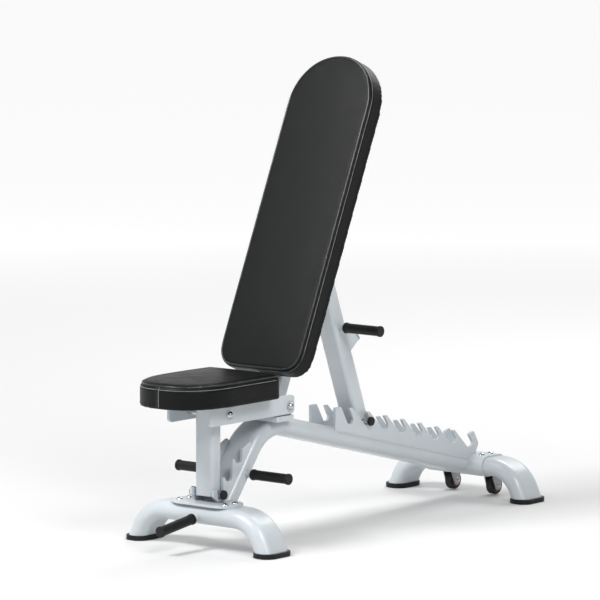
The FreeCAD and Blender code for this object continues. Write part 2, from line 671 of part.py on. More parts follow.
def front_handle_bar():
    start = FOOT_AXIS + HANDLE_AHEAD * (TUBE_WIDTH / 2 - 2 * TUBE_WALL)
    return bar(start, FOOT_AXIS + HANDLE_AHEAD * (FRONT_GRIP_TO - GRIP_END), GRIP_BAR_RADIUS)


# ---------------------------------------------------------------- casters
def caster_fork(side):
    """Fixed fork under and behind the rear sleeve, straddling its wheel."""
    inner = WHEEL_WIDTH / 2 + FORK_GAP
    outer = inner + FORK_THICK
    front, rear = FOOT_SPACING + FORK_FRONT, FOOT_SPACING + FORK_REAR
    cheek = [
        (front, SLEEVE_BOTTOM + FORK_LAP, 0),
        (front, SLEEVE_BOTTOM - 10.0, 8.0),
        (WHEEL_Y - FORK_END_RADIUS, WHEEL_Z - FORK_END_RADIUS, FORK_END_RADIUS - 1.0),
        (WHEEL_Y + FORK_END_RADIUS, WHEEL_Z - FORK_END_RADIUS, FORK_END_RADIUS - 1.0),
        (rear, SLEEVE_BOTTOM + FORK_LAP, 0),
    ]
    centre = side * CASTER_X
    shape = block(centre - outer, centre + outer, front, rear,
                  SLEEVE_BOTTOM - FORK_THICK, SLEEVE_BOTTOM + FORK_THICK)
    for x in (centre - outer, centre + inner):
        shape = shape.fuse(side_plate(cheek, 0, FORK_THICK).translated(Vector(x, 0, 0)))
    axle = Vector(centre, WHEEL_Y, WHEEL_Z)
    shape = shape.cut(bar(across(axle, centre - outer - 1), across(axle, centre + outer + 1),
                          AXLE_RADIUS))
    return max(shape.cut(SLEEVE_OUTER).removeSplitter().Solids, key=lambda s: s.Volume)


def caster_axles():
    solids = []
    outer = WHEEL_WIDTH / 2 + FORK_GAP + FORK_THICK
    for centre in (-CASTER_X, CASTER_X):
        a = Vector(centre - outer, WHEEL_Y, WHEEL_Z)
        b = Vector(centre + outer, WHEEL_Y, WHEEL_Z)
        x = Vector(1, 0, 0)
        half = (b - a).Length / 2
        right = headed(b, -x, AXLE_HEAD_RADIUS, AXLE_HEAD_RISE, AXLE_RADIUS, half)
        left = headed(a, x, AXLE_HEAD_RADIUS, AXLE_HEAD_RISE, AXLE_RADIUS, half)
        solids.append(right.fuse(left).removeSplitter())
    return Part.makeCompound(solids)


def wheel_ends(side):
    centre = side * CASTER_X
    return (Vector(centre - WHEEL_WIDTH / 2, WHEEL_Y, WHEEL_Z),
            Vector(centre + WHEEL_WIDTH / 2, WHEEL_Y, WHEEL_Z))


def wheel_tyre(side):
    a, b = wheel_ends(side)
    shape = bar(a, b, WHEEL_RADIUS)
    edges = [e for e in shape.Edges if isinstance(e.Curve, Part.Circle)]
    return shape.makeFillet(TYRE_ROUND, edges).cut(bar(a, b, HUB_RADIUS))


def wheel_hub(side):
    """Hub with a shallow dished face on each side and a running bore."""
    a, b = wheel_ends(side)
    x = Vector(1, 0, 0)
    shape = bar(a, b, HUB_RADIUS).cut(bar(a, b, AXLE_RADIUS + RUNNING_CLEARANCE))
    for start, end in ((a, a + x * HUB_GROOVE), (b - x * HUB_GROOVE, b)):
        shape = shape.cut(ring(start, end, HUB_RADIUS - HUB_RIM, AXLE_RADIUS + HUB_RIM))
    return shape


# ---------------------------------------------------------------- seat
def seat_plate(side):
    points = [
        (SEAT_PLATE_FRONT, SEAT_PLATE_BOTTOM, 10.0),
        (SEAT_PLATE_FRONT, SEAT_PLATE_TOP, 3.0),
        (SEAT_PLATE_REAR, SEAT_PLATE_TOP, 11.0),
        (SEAT_PLATE_REAR, SEAT_PLATE_BOTTOM, 11.0),
    ]
    shape = side_plate(points, SEAT_PLATE_INNER, PLATE, side)
    shape = shape.cut(bore(PIVOT, BOLT_RADIUS + RUNNING_CLEARANCE))
    return shape.cut(bore(POST_BOLT, BOLT_RADIUS))


CROSS_PLATE_SPANS = ((-62.0, -26.0), (66.0, 102.0))
SEAT_SCREWS = [(x, (a + b) / 2) for x in (-SEAT_SCREW_X, SEAT_SCREW_X) for a, b in CROSS_PLATE_SPANS]


def seat_cross_plates():
    edge = SEAT_PLATE_INNER + PLATE
    plates = []
    for a, b in CROSS_PLATE_SPANS:
        plate = block(-edge, edge, a, b, SEAT_PLATE_TOP, SEAT_PLATE_TOP + CROSS_PLATE)
        for x, y in SEAT_SCREWS:
            plate = plate.cut(bar(Vector(x, y, SEAT_PLATE_TOP - 1),
                                  Vector(x, y, SEAT_BOARD_BOTTOM + 1),
                                  SCREW_RADIUS + HOLE_CLEARANCE))
        plates.append(plate)
    return Part.makeCompound(plates)


def seat_outline(inset, z):
    """Plan outline of the seat: square rear corners, straight sides, round front."""
    half = SEAT_PAD_HALF - inset
    rear = SEAT_PAD_REAR - inset
    side_end = SEAT_PAD_SIDE_END
    depth = side_end - SEAT_PAD_FRONT - inset
    corner = SEAT_PAD_CORNER - inset
    power = 2.0 / SEAT_FRONT_POWER
    front = []
    steps = 24
    for i in range(steps + 1):
        turn = math.pi * i / steps
        c, s = math.cos(turn), math.sin(turn)
        x = half * math.copysign(abs(c) ** power, c)
        front.append(Vector(x, side_end - depth * abs(s) ** power, z))
    curve = Part.BSplineCurve()
    curve.interpolate(Points=front, InitialTangent=Vector(0, -1, 0), FinalTangent=Vector(0, 1, 0))
    k = corner * (1 - math.sqrt(0.5))
    edges = [
        curve.toShape(),
        Part.LineSegment(Vector(-half, side_end, z), Vector(-half, rear - corner, z)).toShape(),
        Part.Arc(Vector(-half, rear - corner, z), Vector(-half + k, rear - k, z),
                 Vector(-half + corner, rear, z)).toShape(),
        Part.LineSegment(Vector(-half + corner, rear, z), Vector(half - corner, rear, z)).toShape(),
        Part.Arc(Vector(half - corner, rear, z), Vector(half - k, rear - k, z),
                 Vector(half, rear - corner, z)).toShape(),
        Part.LineSegment(Vector(half, rear - corner, z), Vector(half, side_end, z)).toShape(),
    ]
    return Part.Wire(edges)


def screw_holes(shape, places, start, way, depth):
    """Blind pilot bores that the screws fill."""
    for place in places:
        shape = shape.cut(bar(place + way * start, place + way * depth, SCREW_RADIUS))
    return shape


def screws(places, way, grip_depth):
    """Pan-head screws; each place is where the head's face seats."""
    solids = []
    for place in places:
        solids.append(headed(place, way, SCREW_HEAD_RADIUS, SCREW_HEAD_RISE, SCREW_RADIUS, grip_depth))
    return Part.makeCompound(solids)


UP = Vector(0, 0, 1)
SEAT_SCREW_SEATS = [Vector(x, y, SEAT_PLATE_TOP) for x, y in SEAT_SCREWS]
SCREW_GRIP = CROSS_PLATE + BOARD_THICK - SCREW_SHORT


def seat_board():
    face = Part.Face(seat_outline(BOARD_INSET, SEAT_BOARD_BOTTOM))
    shape = face.extrude(UP * BOARD_THICK)
    return screw_holes(shape, SEAT_SCREW_SEATS, 0, UP, SCREW_GRIP)


def seat_pad():
    """Upholstered pad, wrapped over the edge of its board."""
    shape = Part.Face(seat_outline(0, SEAT_BOARD_BOTTOM)).extrude(UP * SEAT_PAD_THICK)
    top = SEAT_BOARD_BOTTOM + SEAT_PAD_THICK
    shape = shape.makeFillet(SEAT_PAD_EDGE, [e for e in shape.Edges if e.BoundBox.ZMin > top - 0.01])
    pocket = Part.Face(seat_outline(BOARD_INSET, SEAT_BOARD_BOTTOM)).extrude(UP * BOARD_THICK)
    return shape.cut(pocket)


def post_spacers():
    inner = POST_WIDTH / 2 + SIDE_CLEARANCE
    outer = SEAT_PLATE_INNER
    return Part.makeCompound([
        ring(across(POST_BOLT, side * inner), across(POST_BOLT, side * outer),
             BOLT_RADIUS + BOSS_WALL, BOLT_RADIUS) for side in (-1, 1)])


def seat_post():
    start, end = POST_BOLT + UP * POST_HEAD, POST_PIN - UP * POST_TOE
    outer = rectangle(POST_WIDTH, POST_DEPTH, POST_CORNER, start, Vector(1, 0, 0), Vector(0, 1, 0))
    inner = rectangle(POST_WIDTH - 2 * POST_WALL, POST_DEPTH - 2 * POST_WALL,
                      POST_CORNER - POST_WALL, start, Vector(1, 0, 0), Vector(0, 1, 0))
    shape = tube(outer, inner, start, end)
    shape = shape.cut(bore(POST_BOLT, BOLT_RADIUS + RUNNING_CLEARANCE))
    return shape.cut(bore(POST_PIN, PIN_RADIUS))


def locking_pin(centre, plate_inner):
    """Pin between the notched plates, and its two ends outside them."""
    reach = plate_inner - PIN_SIDE_CLEARANCE
    start = plate_inner + PLATE + PIN_SIDE_CLEARANCE
    solids = [bar(across(centre, -reach), across(centre, reach), PIN_RADIUS)]
    for side in (-1, 1):
        solids.append(bar(across(centre, side * start), across(centre, side * (start + PIN_STUB)),
                          PIN_RADIUS))
    return Part.makeCompound(solids)


def pin_caps(centre, plate_inner):
    """Round rubber caps on the pin's two ends."""
    start = plate_inner + PLATE + PIN_SIDE_CLEARANCE + PIN_STUB
    solids = []
    for side in (-1, 1):
        cap = bar(across(centre, side * start), across(centre, side * (start + CAP_LENGTH)),
                  CAP_RADIUS)
        far = start + CAP_LENGTH - 0.01
        edges = [e for e in cap.Edges if abs(e.BoundBox.XMin) > far and abs(e.BoundBox.XMax) > far]
        solids.append(cap.makeFillet(CAP_ROUND, edges))
    return Part.makeCompound(solids)


# ---------------------------------------------------------------- back
def on_back(x, along, ahead):
    """Point given along the back, from the pivot, and ahead of its pivot line."""
    return Vector(x, 0, 0) + PIVOT + BACK_UP * along + BACK_AHEAD * ahead


BACK_MIDDLE = (BACK_TUBE_FRONT - BACK_TUBE_REAR) / 2
BACK_DEPTH = BACK_TUBE_FRONT + BACK_TUBE_REAR
BACK_PLATE_SPANS = ((150.0, 200.0), (600.0, 650.0))
BACK_SCREW_X = 62.0
BACK_SCREWS = [on_back(x, (a + b) / 2, BACK_TUBE_FRONT)
               for x in (-BACK_SCREW_X, BACK_SCREW_X) for a, b in BACK_PLATE_SPANS]
BACK_SCREW_GRIP = BACK_PLATE_THICK + BOARD_THICK - SCREW_SHORT


def back_section(inset, along):
    return rectangle(BACK_TUBE_WIDTH - 2 * inset, BACK_DEPTH - 2 * inset, BACK_TUBE_CORNER - inset,
                     on_back(0, along, BACK_MIDDLE), Vector(1, 0, 0), BACK_AHEAD)


def back_tube():
    start, end = on_back(0, BACK_TUBE_START, 0), on_back(0, BACK_TUBE_END, 0)
    shape = tube(back_section(0, BACK_TUBE_START), back_section(STRUT_WALL, BACK_TUBE_START),
                 start, end)
    return shape.cut(bore(PIVOT, BOLT_RADIUS + RUNNING_CLEARANCE))


def back_plugs():
    """Plastic plugs that close the two ends of the back tube."""
    solids = []
    for along, way in ((BACK_TUBE_START, -1), (BACK_TUBE_END, 1)):
        lid = beam(back_section(0, along), Vector(), BACK_UP * (PLUG_LID * way))
        stem = beam(back_section(STRUT_WALL, along), Vector(), BACK_UP * (-PLUG_STEM * way))
        plug = lid.fuse(stem).cut(bore(PIVOT, BOLT_RADIUS + SIDE_CLEARANCE))
        solids.append(max(plug.Solids, key=lambda s: s.Volume))
    return Part.makeCompound(solids)


def back_plate(span):
    low, high = span
    section = rectangle(2 * (BACK_SCREW_X + BACK_PLATE_END), high - low, BACK_PLATE_CORNER,
                        on_back(0, (low + high) / 2, BACK_TUBE_FRONT), Vector(1, 0, 0), BACK_UP)
    shape = Part.Face(section).extrude(BACK_AHEAD * BACK_PLATE_THICK)
    for place in BACK_SCREWS:
        shape = shape.cut(bar(place - BACK_AHEAD, place + BACK_AHEAD * (BACK_PLATE_THICK + 1),
                              SCREW_RADIUS + HOLE_CLEARANCE))
    return shape


def back_outline(inset):
    """Outline of the back pad: rounded foot and a full half-round head."""
    half = BACK_PAD_WIDTH / 2 - inset
    low, high = BACK_PAD_START + inset, BACK_PAD_END - inset
    corner = BACK_PAD_CORNER - inset
    k = corner * (1 - math.sqrt(0.5))

    def at(x, along):
        return on_back(x, along, BACK_BOARD_AT)

    return Part.Wire([
        Part.LineSegment(at(-half + corner, low), at(half - corner, low)).toShape(),
        Part.Arc(at(half - corner, low), at(half - k, low + k), at(half, low + corner)).toShape(),
        Part.LineSegment(at(half, low + corner), at(half, high - half)).toShape(),
        Part.Arc(at(half, high - half), at(0, high), at(-half, high - half)).toShape(),
        Part.LineSegment(at(-half, high - half), at(-half, low + corner)).toShape(),
        Part.Arc(at(-half, low + corner), at(-half + k, low + k), at(-half + corner, low)).toShape(),
    ])


def back_board():
    shape = Part.Face(back_outline(BOARD_INSET)).extrude(BACK_AHEAD * BOARD_THICK)
    return screw_holes(shape, BACK_SCREWS, 0, BACK_AHEAD, BACK_SCREW_GRIP)


def back_pad():
    """Upholstered pad, wrapped over the edge of its board."""
    shape = Part.Face(back_outline(0)).extrude(BACK_AHEAD * BACK_PAD_THICK)
    front = BACK_BOARD_AT + BACK_PAD_THICK
    edges = [e for e in shape.Edges
             if all(abs((v.Point - PIVOT).dot(BACK_AHEAD) - front) < 0.01 for v in e.Vertexes)]
    shape = shape.makeFillet(BACK_PAD_EDGE, edges)
    return shape.cut(Part.Face(back_outline(BOARD_INSET)).extrude(BACK_AHEAD * BOARD_THICK))


def strut_ear(side):
    """Ear on the back tube's side, with a boss that centres the strut."""
    def at(along, ahead):
        p = on_back(0, along, ahead)
        return p.y, p.z

    tip = BOLT_RADIUS + EAR_TIP
    points = [
        (*at(STRUT_PIVOT_ALONG - EAR_ROOT, EAR_LAP - BACK_TUBE_REAR), 4.0),
        (*at(STRUT_PIVOT_ALONG + EAR_ROOT, EAR_LAP - BACK_TUBE_REAR), 4.0),
        (*at(STRUT_PIVOT_ALONG + tip, -STRUT_PIVOT_BEHIND - tip), tip - 1.0),
        (*at(STRUT_PIVOT_ALONG - tip, -STRUT_PIVOT_BEHIND - tip), tip - 1.0),
    ]
    shape = side_plate(points, EAR_INNER, EAR_THICK, side)
    boss = bar(across(STRUT_PIVOT, side * (STRUT_WIDTH / 2 + SIDE_CLEARANCE)),
               across(STRUT_PIVOT, side * EAR_INNER), BOLT_RADIUS + BOSS_WALL)
    return shape.fuse(boss).cut(bore(STRUT_PIVOT, BOLT_RADIUS))


def pivot_bushes():
    """Bushes on the pivot bolt, from the bracket's ears to the back tube."""
    inner = BACK_TUBE_WIDTH / 2 + SIDE_CLEARANCE
    return Part.makeCompound([
        ring(across(PIVOT, side * inner), across(PIVOT, side * BRACKET_INNER),
             BOLT_RADIUS + BUSH_WALL, BOLT_RADIUS) for side in (-1, 1)])


# ---------------------------------------------------------------- strut
def strut_section(inset, at):
    return rectangle(STRUT_WIDTH - 2 * inset, STRUT_DEPTH - 2 * inset, STRUT_CORNER - inset,
                     at, Vector(1, 0, 0), STRUT_BEHIND)


def strut_outer():
    start = STRUT_PIVOT - STRUT_DOWN * STRUT_HEAD
    end = STRUT_PIN + STRUT_DOWN * STRUT_FOOT
    return beam(strut_section(0, start), start, end)


def strut():
    start = STRUT_PIVOT - STRUT_DOWN * STRUT_HEAD
    end = STRUT_PIN + STRUT_DOWN * STRUT_FOOT
    shape = strut_outer().cut(beam(strut_section(STRUT_WALL, start), start, end))
    cuts = ((STRUT_PIVOT, BOLT_RADIUS + RUNNING_CLEARANCE), (STRUT_PIN, PIN_RADIUS),
            (STRUT_HANDLE, GRIP_BAR_RADIUS))
    for centre, radius in cuts:
        shape = shape.cut(bore(centre, radius))
    return shape


BUMPER_WAY = unit(BUMPER_ANGLE)
BUMPER_ROOT = STRUT_PIVOT + STRUT_DOWN * BUMPER_ALONG
BUMPER_ACROSS = unit(BUMPER_ANGLE + 90)


def bumper_section(inset, at):
    return rectangle(BUMPER_WIDTH - 2 * inset, BUMPER_DEPTH - 2 * inset, BUMPER_CORNER - inset, at,
                     Vector(1, 0, 0), BUMPER_ACROSS)


def strut_bumper():
    """Stub behind the strut that the lowered back rests on."""
    end = BUMPER_ROOT + BUMPER_WAY * (BUMPER_REACH - BUMPER_CAP)
    shape = tube(bumper_section(0, BUMPER_ROOT), bumper_section(STRUT_WALL, BUMPER_ROOT),
                 BUMPER_ROOT, end)
    return max(shape.cut(strut_outer()).Solids, key=lambda s: s.Volume)


def bumper_cap():
    end = BUMPER_ROOT + BUMPER_WAY * (BUMPER_REACH - BUMPER_CAP)
    lid = beam(bumper_section(-BUMPER_LIP, end), Vector(), BUMPER_WAY * BUMPER_CAP)
    stem = beam(bumper_section(STRUT_WALL, end), Vector(), BUMPER_WAY * -PLUG_STEM)
    return lid.fuse(stem)


# ---------------------------------------------------------------- all sub-parts
def side_name(side):
    return "right" if side > 0 else "left"


def sub_parts():
    parts = {
        "front_foot_tube": foot_tube("front"),
        "rear_foot_tube": foot_tube("rear"),
        "main_tube": main_tube(),
        "front_mount_plate": mount_plate().cut(MAIN_OUTER),
        "front_mount_bolts": small_bolts(MOUNT_BOLTS, PLATE_TOP, PLATE_TOP - MOUNT_PLATE_THICK),
        "rear_sleeve": rear_sleeve(),
        "rear_sleeve_bolts": sleeve_bolts(),
        "side_grip_bar": cross_bar(SIDE_BAR, SIDE_GRIP_TO),
        "front_handle_bar": front_handle_bar(),
        "front_handle_grip": grip(FOOT_AXIS + HANDLE_AHEAD * FRONT_GRIP_FROM,
                                  FOOT_AXIS + HANDLE_AHEAD * FRONT_GRIP_TO),
        "pivot_bracket": pivot_bracket(),
        "pivot_bolt": through_bolt(PIVOT, SEAT_PLATE_INNER + PLATE + SIDE_CLEARANCE),
        "pivot_bushes": pivot_bushes(),
        "caster_axles": caster_axles(),
        "seat_cross_plates": seat_cross_plates(),
        "seat_board": seat_board(),
        "seat_pad": seat_pad(),
        "seat_screws": screws(SEAT_SCREW_SEATS, UP, SCREW_GRIP),
        "post_bolt": through_bolt(POST_BOLT, SEAT_PLATE_INNER + PLATE),
        "post_spacers": post_spacers(),
        "seat_post": seat_post(),
        "seat_post_pin": locking_pin(POST_PIN, RACK_INNER),
        "seat_post_pin_caps": pin_caps(POST_PIN, RACK_INNER),
        "back_tube": back_tube(),
        "back_tube_plugs": back_plugs(),
        "lower_back_plate": back_plate(BACK_PLATE_SPANS[0]),
        "upper_back_plate": back_plate(BACK_PLATE_SPANS[1]),
        "back_board": back_board(),
        "back_pad": back_pad(),
        "back_screws": screws(BACK_SCREWS, BACK_AHEAD, BACK_SCREW_GRIP),
        "strut_bolt": through_bolt(STRUT_PIVOT, EAR_INNER + EAR_THICK),
        "strut": strut(),
        "strut_handle_bar": cross_bar(STRUT_HANDLE, STRUT_GRIP_TO),
        "strut_pin": locking_pin(STRUT_PIN, LADDER_INNER),
        "strut_pin_caps": pin_caps(STRUT_PIN, LADDER_INNER),
        "strut_bumper": strut_bumper(),
        "strut_bumper_cap": bumper_cap(),
    }
    for side in (-1, 1):
        name = side_name(side)
        for end in ("front", "rear"):
            parts[f"{end}_{name}_foot_cap"] = foot_cap(end, side)
        parts[f"{name}_seat_rack"] = seat_rack(side)
        parts[f"{name}_back_ladder"] = back_ladder(side)
        parts[f"{name}_side_grip"] = grip(across(SIDE_BAR, side * SIDE_GRIP_FROM),
                                          across(SIDE_BAR, side * SIDE_GRIP_TO))
        parts[f"{name}_strut_grip"] = grip(across(STRUT_HANDLE, side * STRUT_GRIP_FROM),
                                           across(STRUT_HANDLE, side * STRUT_GRIP_TO))
        parts[f"{name}_caster_fork"] = caster_fork(side)
        parts[f"{name}_wheel_tyre"] = wheel_tyre(side)
        parts[f"{name}_wheel_hub"] = wheel_hub(side)
        parts[f"{name}_seat_plate"] = seat_plate(side)
        parts[f"{name}_strut_ear"] = strut_ear(side)
    return parts


def main():
    os.makedirs("parts", exist_ok=True)
    for name, shape in sub_parts().items():
        shape.translated(Vector(0, -ORIGIN_Y, 0)).exportStep(f"parts/{name}.step")


main()
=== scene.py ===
"""Adjustable weight bench: upholstered pads, locking pins, weld beads and finishes."""

import json
import math

import bmesh
import bpy
import numpy as np
from mathutils import Matrix, Vector


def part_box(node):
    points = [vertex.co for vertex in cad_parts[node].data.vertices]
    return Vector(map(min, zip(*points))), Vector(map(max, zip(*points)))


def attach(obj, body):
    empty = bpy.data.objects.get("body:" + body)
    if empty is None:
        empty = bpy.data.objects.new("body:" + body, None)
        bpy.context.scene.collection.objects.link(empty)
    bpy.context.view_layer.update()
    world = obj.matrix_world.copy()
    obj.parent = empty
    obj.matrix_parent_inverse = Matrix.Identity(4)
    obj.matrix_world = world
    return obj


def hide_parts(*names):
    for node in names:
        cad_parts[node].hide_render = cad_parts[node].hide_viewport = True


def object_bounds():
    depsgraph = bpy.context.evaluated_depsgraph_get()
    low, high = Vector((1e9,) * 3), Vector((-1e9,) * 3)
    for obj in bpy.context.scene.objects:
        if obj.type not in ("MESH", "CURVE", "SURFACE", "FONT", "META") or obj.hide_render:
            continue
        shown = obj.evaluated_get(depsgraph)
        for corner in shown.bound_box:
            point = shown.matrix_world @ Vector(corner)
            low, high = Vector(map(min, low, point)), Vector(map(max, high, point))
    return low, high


bl_info = {
    "name": "Adjustable Weight Bench",
    "version": (1, 0, 0),
    "blender": (4, 5, 0),
    "location": "3D View > Sidebar > Bench",
    "description": "Builds the pads, pins, welds and finishes of an adjustable weight bench",
    "category": "Object",
}

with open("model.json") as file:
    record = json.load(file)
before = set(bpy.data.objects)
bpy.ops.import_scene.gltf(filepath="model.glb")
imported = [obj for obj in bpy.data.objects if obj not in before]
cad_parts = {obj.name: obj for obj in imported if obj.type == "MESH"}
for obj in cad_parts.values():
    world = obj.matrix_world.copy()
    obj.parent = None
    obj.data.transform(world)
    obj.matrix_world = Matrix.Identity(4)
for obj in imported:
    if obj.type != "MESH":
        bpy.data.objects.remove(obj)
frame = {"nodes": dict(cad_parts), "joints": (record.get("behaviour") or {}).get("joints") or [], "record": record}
CAD_LOW, CAD_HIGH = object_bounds()
JOINTS = {joint["name"]: joint for joint in frame["joints"]}

# Covers
HELD_HEIGHT = 0.012             # cover held against its board, up to this far above the board's face
HELD_SHRINK = 0.25              # share of the shrink where the cover is held
SKIN_ROUNDS = 3                 # smoothing of the pad's skin
SWELL_FRAMES = 20
SWELL_ROUNDS = 500              # evening of how far the foam swells
FACING_ROUNDS = 6               # evening of the step from the top to the sides
SIDE_SWELL = 0.25               # share of the swelling on the sides
SEAM_TUCK = (0.0028, 0.0016)    # half width and depth of the tuck beside the piping
STITCH_TUCK = (0.0022, 0.0007)  # the same, along the stitch line
TUCK_BELOW = 1.2                # tuck below the piping's middle, in piping radii
LINE_STEP = 0.004               # points along a seam round the pad
LINE_ROUNDS = 4
STITCH_GAP = 0.14               # share of a stitch left open at each end

# Closing seam at a pad's end
CLOSING_ABOVE = 0.003           # seam's lower end above the board's face
CLOSING_STEP = 0.003
CLOSING_ROUNDS = 3
CLOSING_HALF = 0.0022           # cords beside the seam's middle
CLOSING_CORD = 0.0011
CLOSING_STITCH = 0.0052         # stitches beside the seam's middle

# Pins and welds
PIN_IN_CAP = 0.003              # pin's end inside the cap's face
BEAD_STEP = 0.0022
BEAD_RIPPLE = 0.16              # how much thicker and thinner a bead's ripples are
BEAD_RIPPLE_TURN = 0.9 * math.pi
LADDER_BEAD_SHORT = 0.055       # bead's end before the ladder's rear tip
LADDER_BEAD_START = 0.01        # share of the bead's reach left bare at the front
LEG_BEAD_RISE = 0.0008          # leg's bead above the mount plate
LEG_BEAD_INSET = 0.002          # and ahead of the plate's rear edge

# Camera
VIEW_AZIMUTH = 39.51
VIEW_ELEVATION = 6.98
VIEW_DISTANCE = 12.0
VIEW_LENS = 271.35
VIEW_SENSOR = 36.0
VIEW_BEHIND_PIVOT = 0.1302
VIEW_HEIGHT = 0.6128


# ---------------------------------------------------------------- settings
class BenchSizes(bpy.types.PropertyGroup):
    """Sizes a user would change."""
    voxel: bpy.props.FloatProperty(
        name="Pad mesh", description="Spacing of the pads' mesh before subdivision",
        default=0.005, unit="LENGTH")
    seat_crown: bpy.props.FloatProperty(
        name="Seat crown", description="Furthest the seat's foam swells", default=0.006, unit="LENGTH")
    back_crown: bpy.props.FloatProperty(
        name="Back crown", description="Furthest the back's foam swells", default=0.005, unit="LENGTH")
    shrink: bpy.props.FloatProperty(
        name="Pad shrink", description="How much smaller a pad starts before it swells",
        default=0.0008, unit="LENGTH")
    piping: bpy.props.FloatProperty(
        name="Piping radius", description="Radius of the piping round each pad's top",
        default=0.0022, unit="LENGTH")
    seat_piping_drop: bpy.props.FloatProperty(
        name="Seat piping drop", description="Seat piping below the pad's top", default=0.011,
        unit="LENGTH")
    back_piping_drop: bpy.props.FloatProperty(
        name="Back piping drop", description="Back piping behind the pad's front", default=0.006,
        unit="LENGTH")
    stitch: bpy.props.FloatProperty(
        name="Stitch length", description="Length of one stitch", default=0.0042, unit="LENGTH")
    thread: bpy.props.FloatProperty(
        name="Thread radius", description="Radius of the sewing thread", default=0.00065, unit="LENGTH")
    stitch_drop: bpy.props.FloatProperty(
        name="Stitch line drop", description="Stitch line beyond the piping", default=0.009,
        unit="LENGTH")
    pin_chamfer: bpy.props.FloatProperty(
        name="Pin chamfer", description="Chamfer at the ends of the locking pins", default=0.001,
        unit="LENGTH")
    spine_fall: bpy.props.FloatProperty(
        name="Spine fall", description="Fall of the main tube per unit of length towards the rear",
        default=0.2503)
    weld: bpy.props.FloatProperty(
        name="Weld radius", description="Radius of the weld beads", default=0.0028, unit="LENGTH")


class BenchColours(bpy.types.PropertyGroup):
    """Colours a user would change."""
    paint: bpy.props.FloatVectorProperty(
        name="Powder coat", description="Pale blue-white of the frame", subtype="COLOR",
        default=(0.53, 0.575, 0.605))
    vinyl: bpy.props.FloatVectorProperty(
        name="Vinyl", description="Black of the pads", subtype="COLOR", default=(0.0046, 0.0050, 0.0050))
    thread: bpy.props.FloatVectorProperty(
        name="Thread", description="Grey of the stitches", subtype="COLOR", default=(0.40, 0.42, 0.42))
    rubber: bpy.props.FloatVectorProperty(
        name="Rubber", description="Black of grips, caps and tyres", subtype="COLOR",
        default=(0.0065, 0.0066, 0.0070))
    hub: bpy.props.FloatVectorProperty(
        name="Wheel hub", description="Red of the wheel hubs", subtype="COLOR",
        default=(0.42, 0.010, 0.020))
    floor: bpy.props.FloatVectorProperty(
        name="Floor", description="Pale floor", subtype="COLOR", default=(0.56, 0.56, 0.56))


def sizes():
    return bpy.context.scene.bench_sizes


def colours():
    return bpy.context.scene.bench_colours


# ---------------------------------------------------------------- finishes
class Finish:
    """A material under construction, with helpers for its patterns."""

    def __init__(self, name, colour, roughness, metallic=0.0):
        self.material = bpy.data.materials.new(name)
        self.material.use_nodes = True
        self.nodes = self.material.node_tree.nodes
        self.shader = self.nodes["Principled BSDF"]
        self.shader.inputs["Base Color"].default_value = (*colour, 1.0)
        self.shader.inputs["Roughness"].default_value = roughness
        self.shader.inputs["Metallic"].default_value = metallic
        self.colour, self.roughness = colour, roughness
        self.place = self.nodes.new("ShaderNodeTexCoord").outputs["Object"]
        self.normal = None

    def link(self, a, b):
        self.material.node_tree.links.new(a, b)

    def stretched(self, scale, turn=(0.0, 0.0, 0.0)):
        """Object coordinates, stretched and turned."""
        node = self.nodes.new("ShaderNodeMapping")
        node.inputs["Scale"].default_value = scale
        node.inputs["Rotation"].default_value = turn
        self.link(self.place, node.inputs["Vector"])
        return node.outputs["Vector"]

    def noise(self, scale, detail=3.0, vector=None, rough=0.55):
        node = self.nodes.new("ShaderNodeTexNoise")
        node.inputs["Scale"].default_value = scale
        node.inputs["Detail"].default_value = detail
        node.inputs["Roughness"].default_value = rough
        self.link(vector or self.place, node.inputs["Vector"])
        return node.outputs["Fac"]

    def cells(self, scale, feature="F1", vector=None):
        node = self.nodes.new("ShaderNodeTexVoronoi")
        node.feature = feature
        node.inputs["Scale"].default_value = scale
        self.link(vector or self.place, node.inputs["Vector"])
        return node.outputs["Distance"]

    def ramp(self, value, low, high, a, b):
        """Map a pattern's low..high range to a..b."""
        node = self.nodes.new("ShaderNodeMapRange")
        node.inputs["From Min"].default_value = low
        node.inputs["From Max"].default_value = high
        node.inputs["To Min"].default_value = a
        node.inputs["To Max"].default_value = b
        self.link(value, node.inputs["Value"])
        return node.outputs["Result"]

    def tint(self, value, other, low=0.35, high=0.65, amount=1.0):
        """Mix the base colour towards another where a pattern is high."""
        node = self.nodes.new("ShaderNodeMix")
        node.data_type = "RGBA"
        before = self.shader.inputs["Base Color"]
        if before.is_linked:
            self.link(before.links[0].from_socket, node.inputs["A"])
        else:
            node.inputs["A"].default_value = (*self.colour, 1.0)
        node.inputs["B"].default_value = (*other, 1.0)
        self.link(self.ramp(value, low, high, 0.0, amount), node.inputs["Factor"])
        self.link(node.outputs["Result"], self.shader.inputs["Base Color"])

    def shine(self, value, spread, low=0.3, high=0.7):
        """Vary the roughness either side of its value."""
        self.link(self.ramp(value, low, high, self.roughness - spread, self.roughness + spread),
                  self.shader.inputs["Roughness"])

    def relief(self, value, depth, strength=1.0):
        """Add a bump layer of some depth in metres."""
        node = self.nodes.new("ShaderNodeBump")
        node.inputs["Strength"].default_value = strength
        node.inputs["Distance"].default_value = depth
        self.link(value, node.inputs["Height"])
        if self.normal:
            self.link(self.normal, node.inputs["Normal"])
        self.normal = node.outputs["Normal"]
        self.link(self.normal, self.shader.inputs["Normal"])

    def set(self, socket, value):
        self.shader.inputs[socket].default_value = value


def scaled(colour, factor):
    return tuple(c * factor for c in colour)


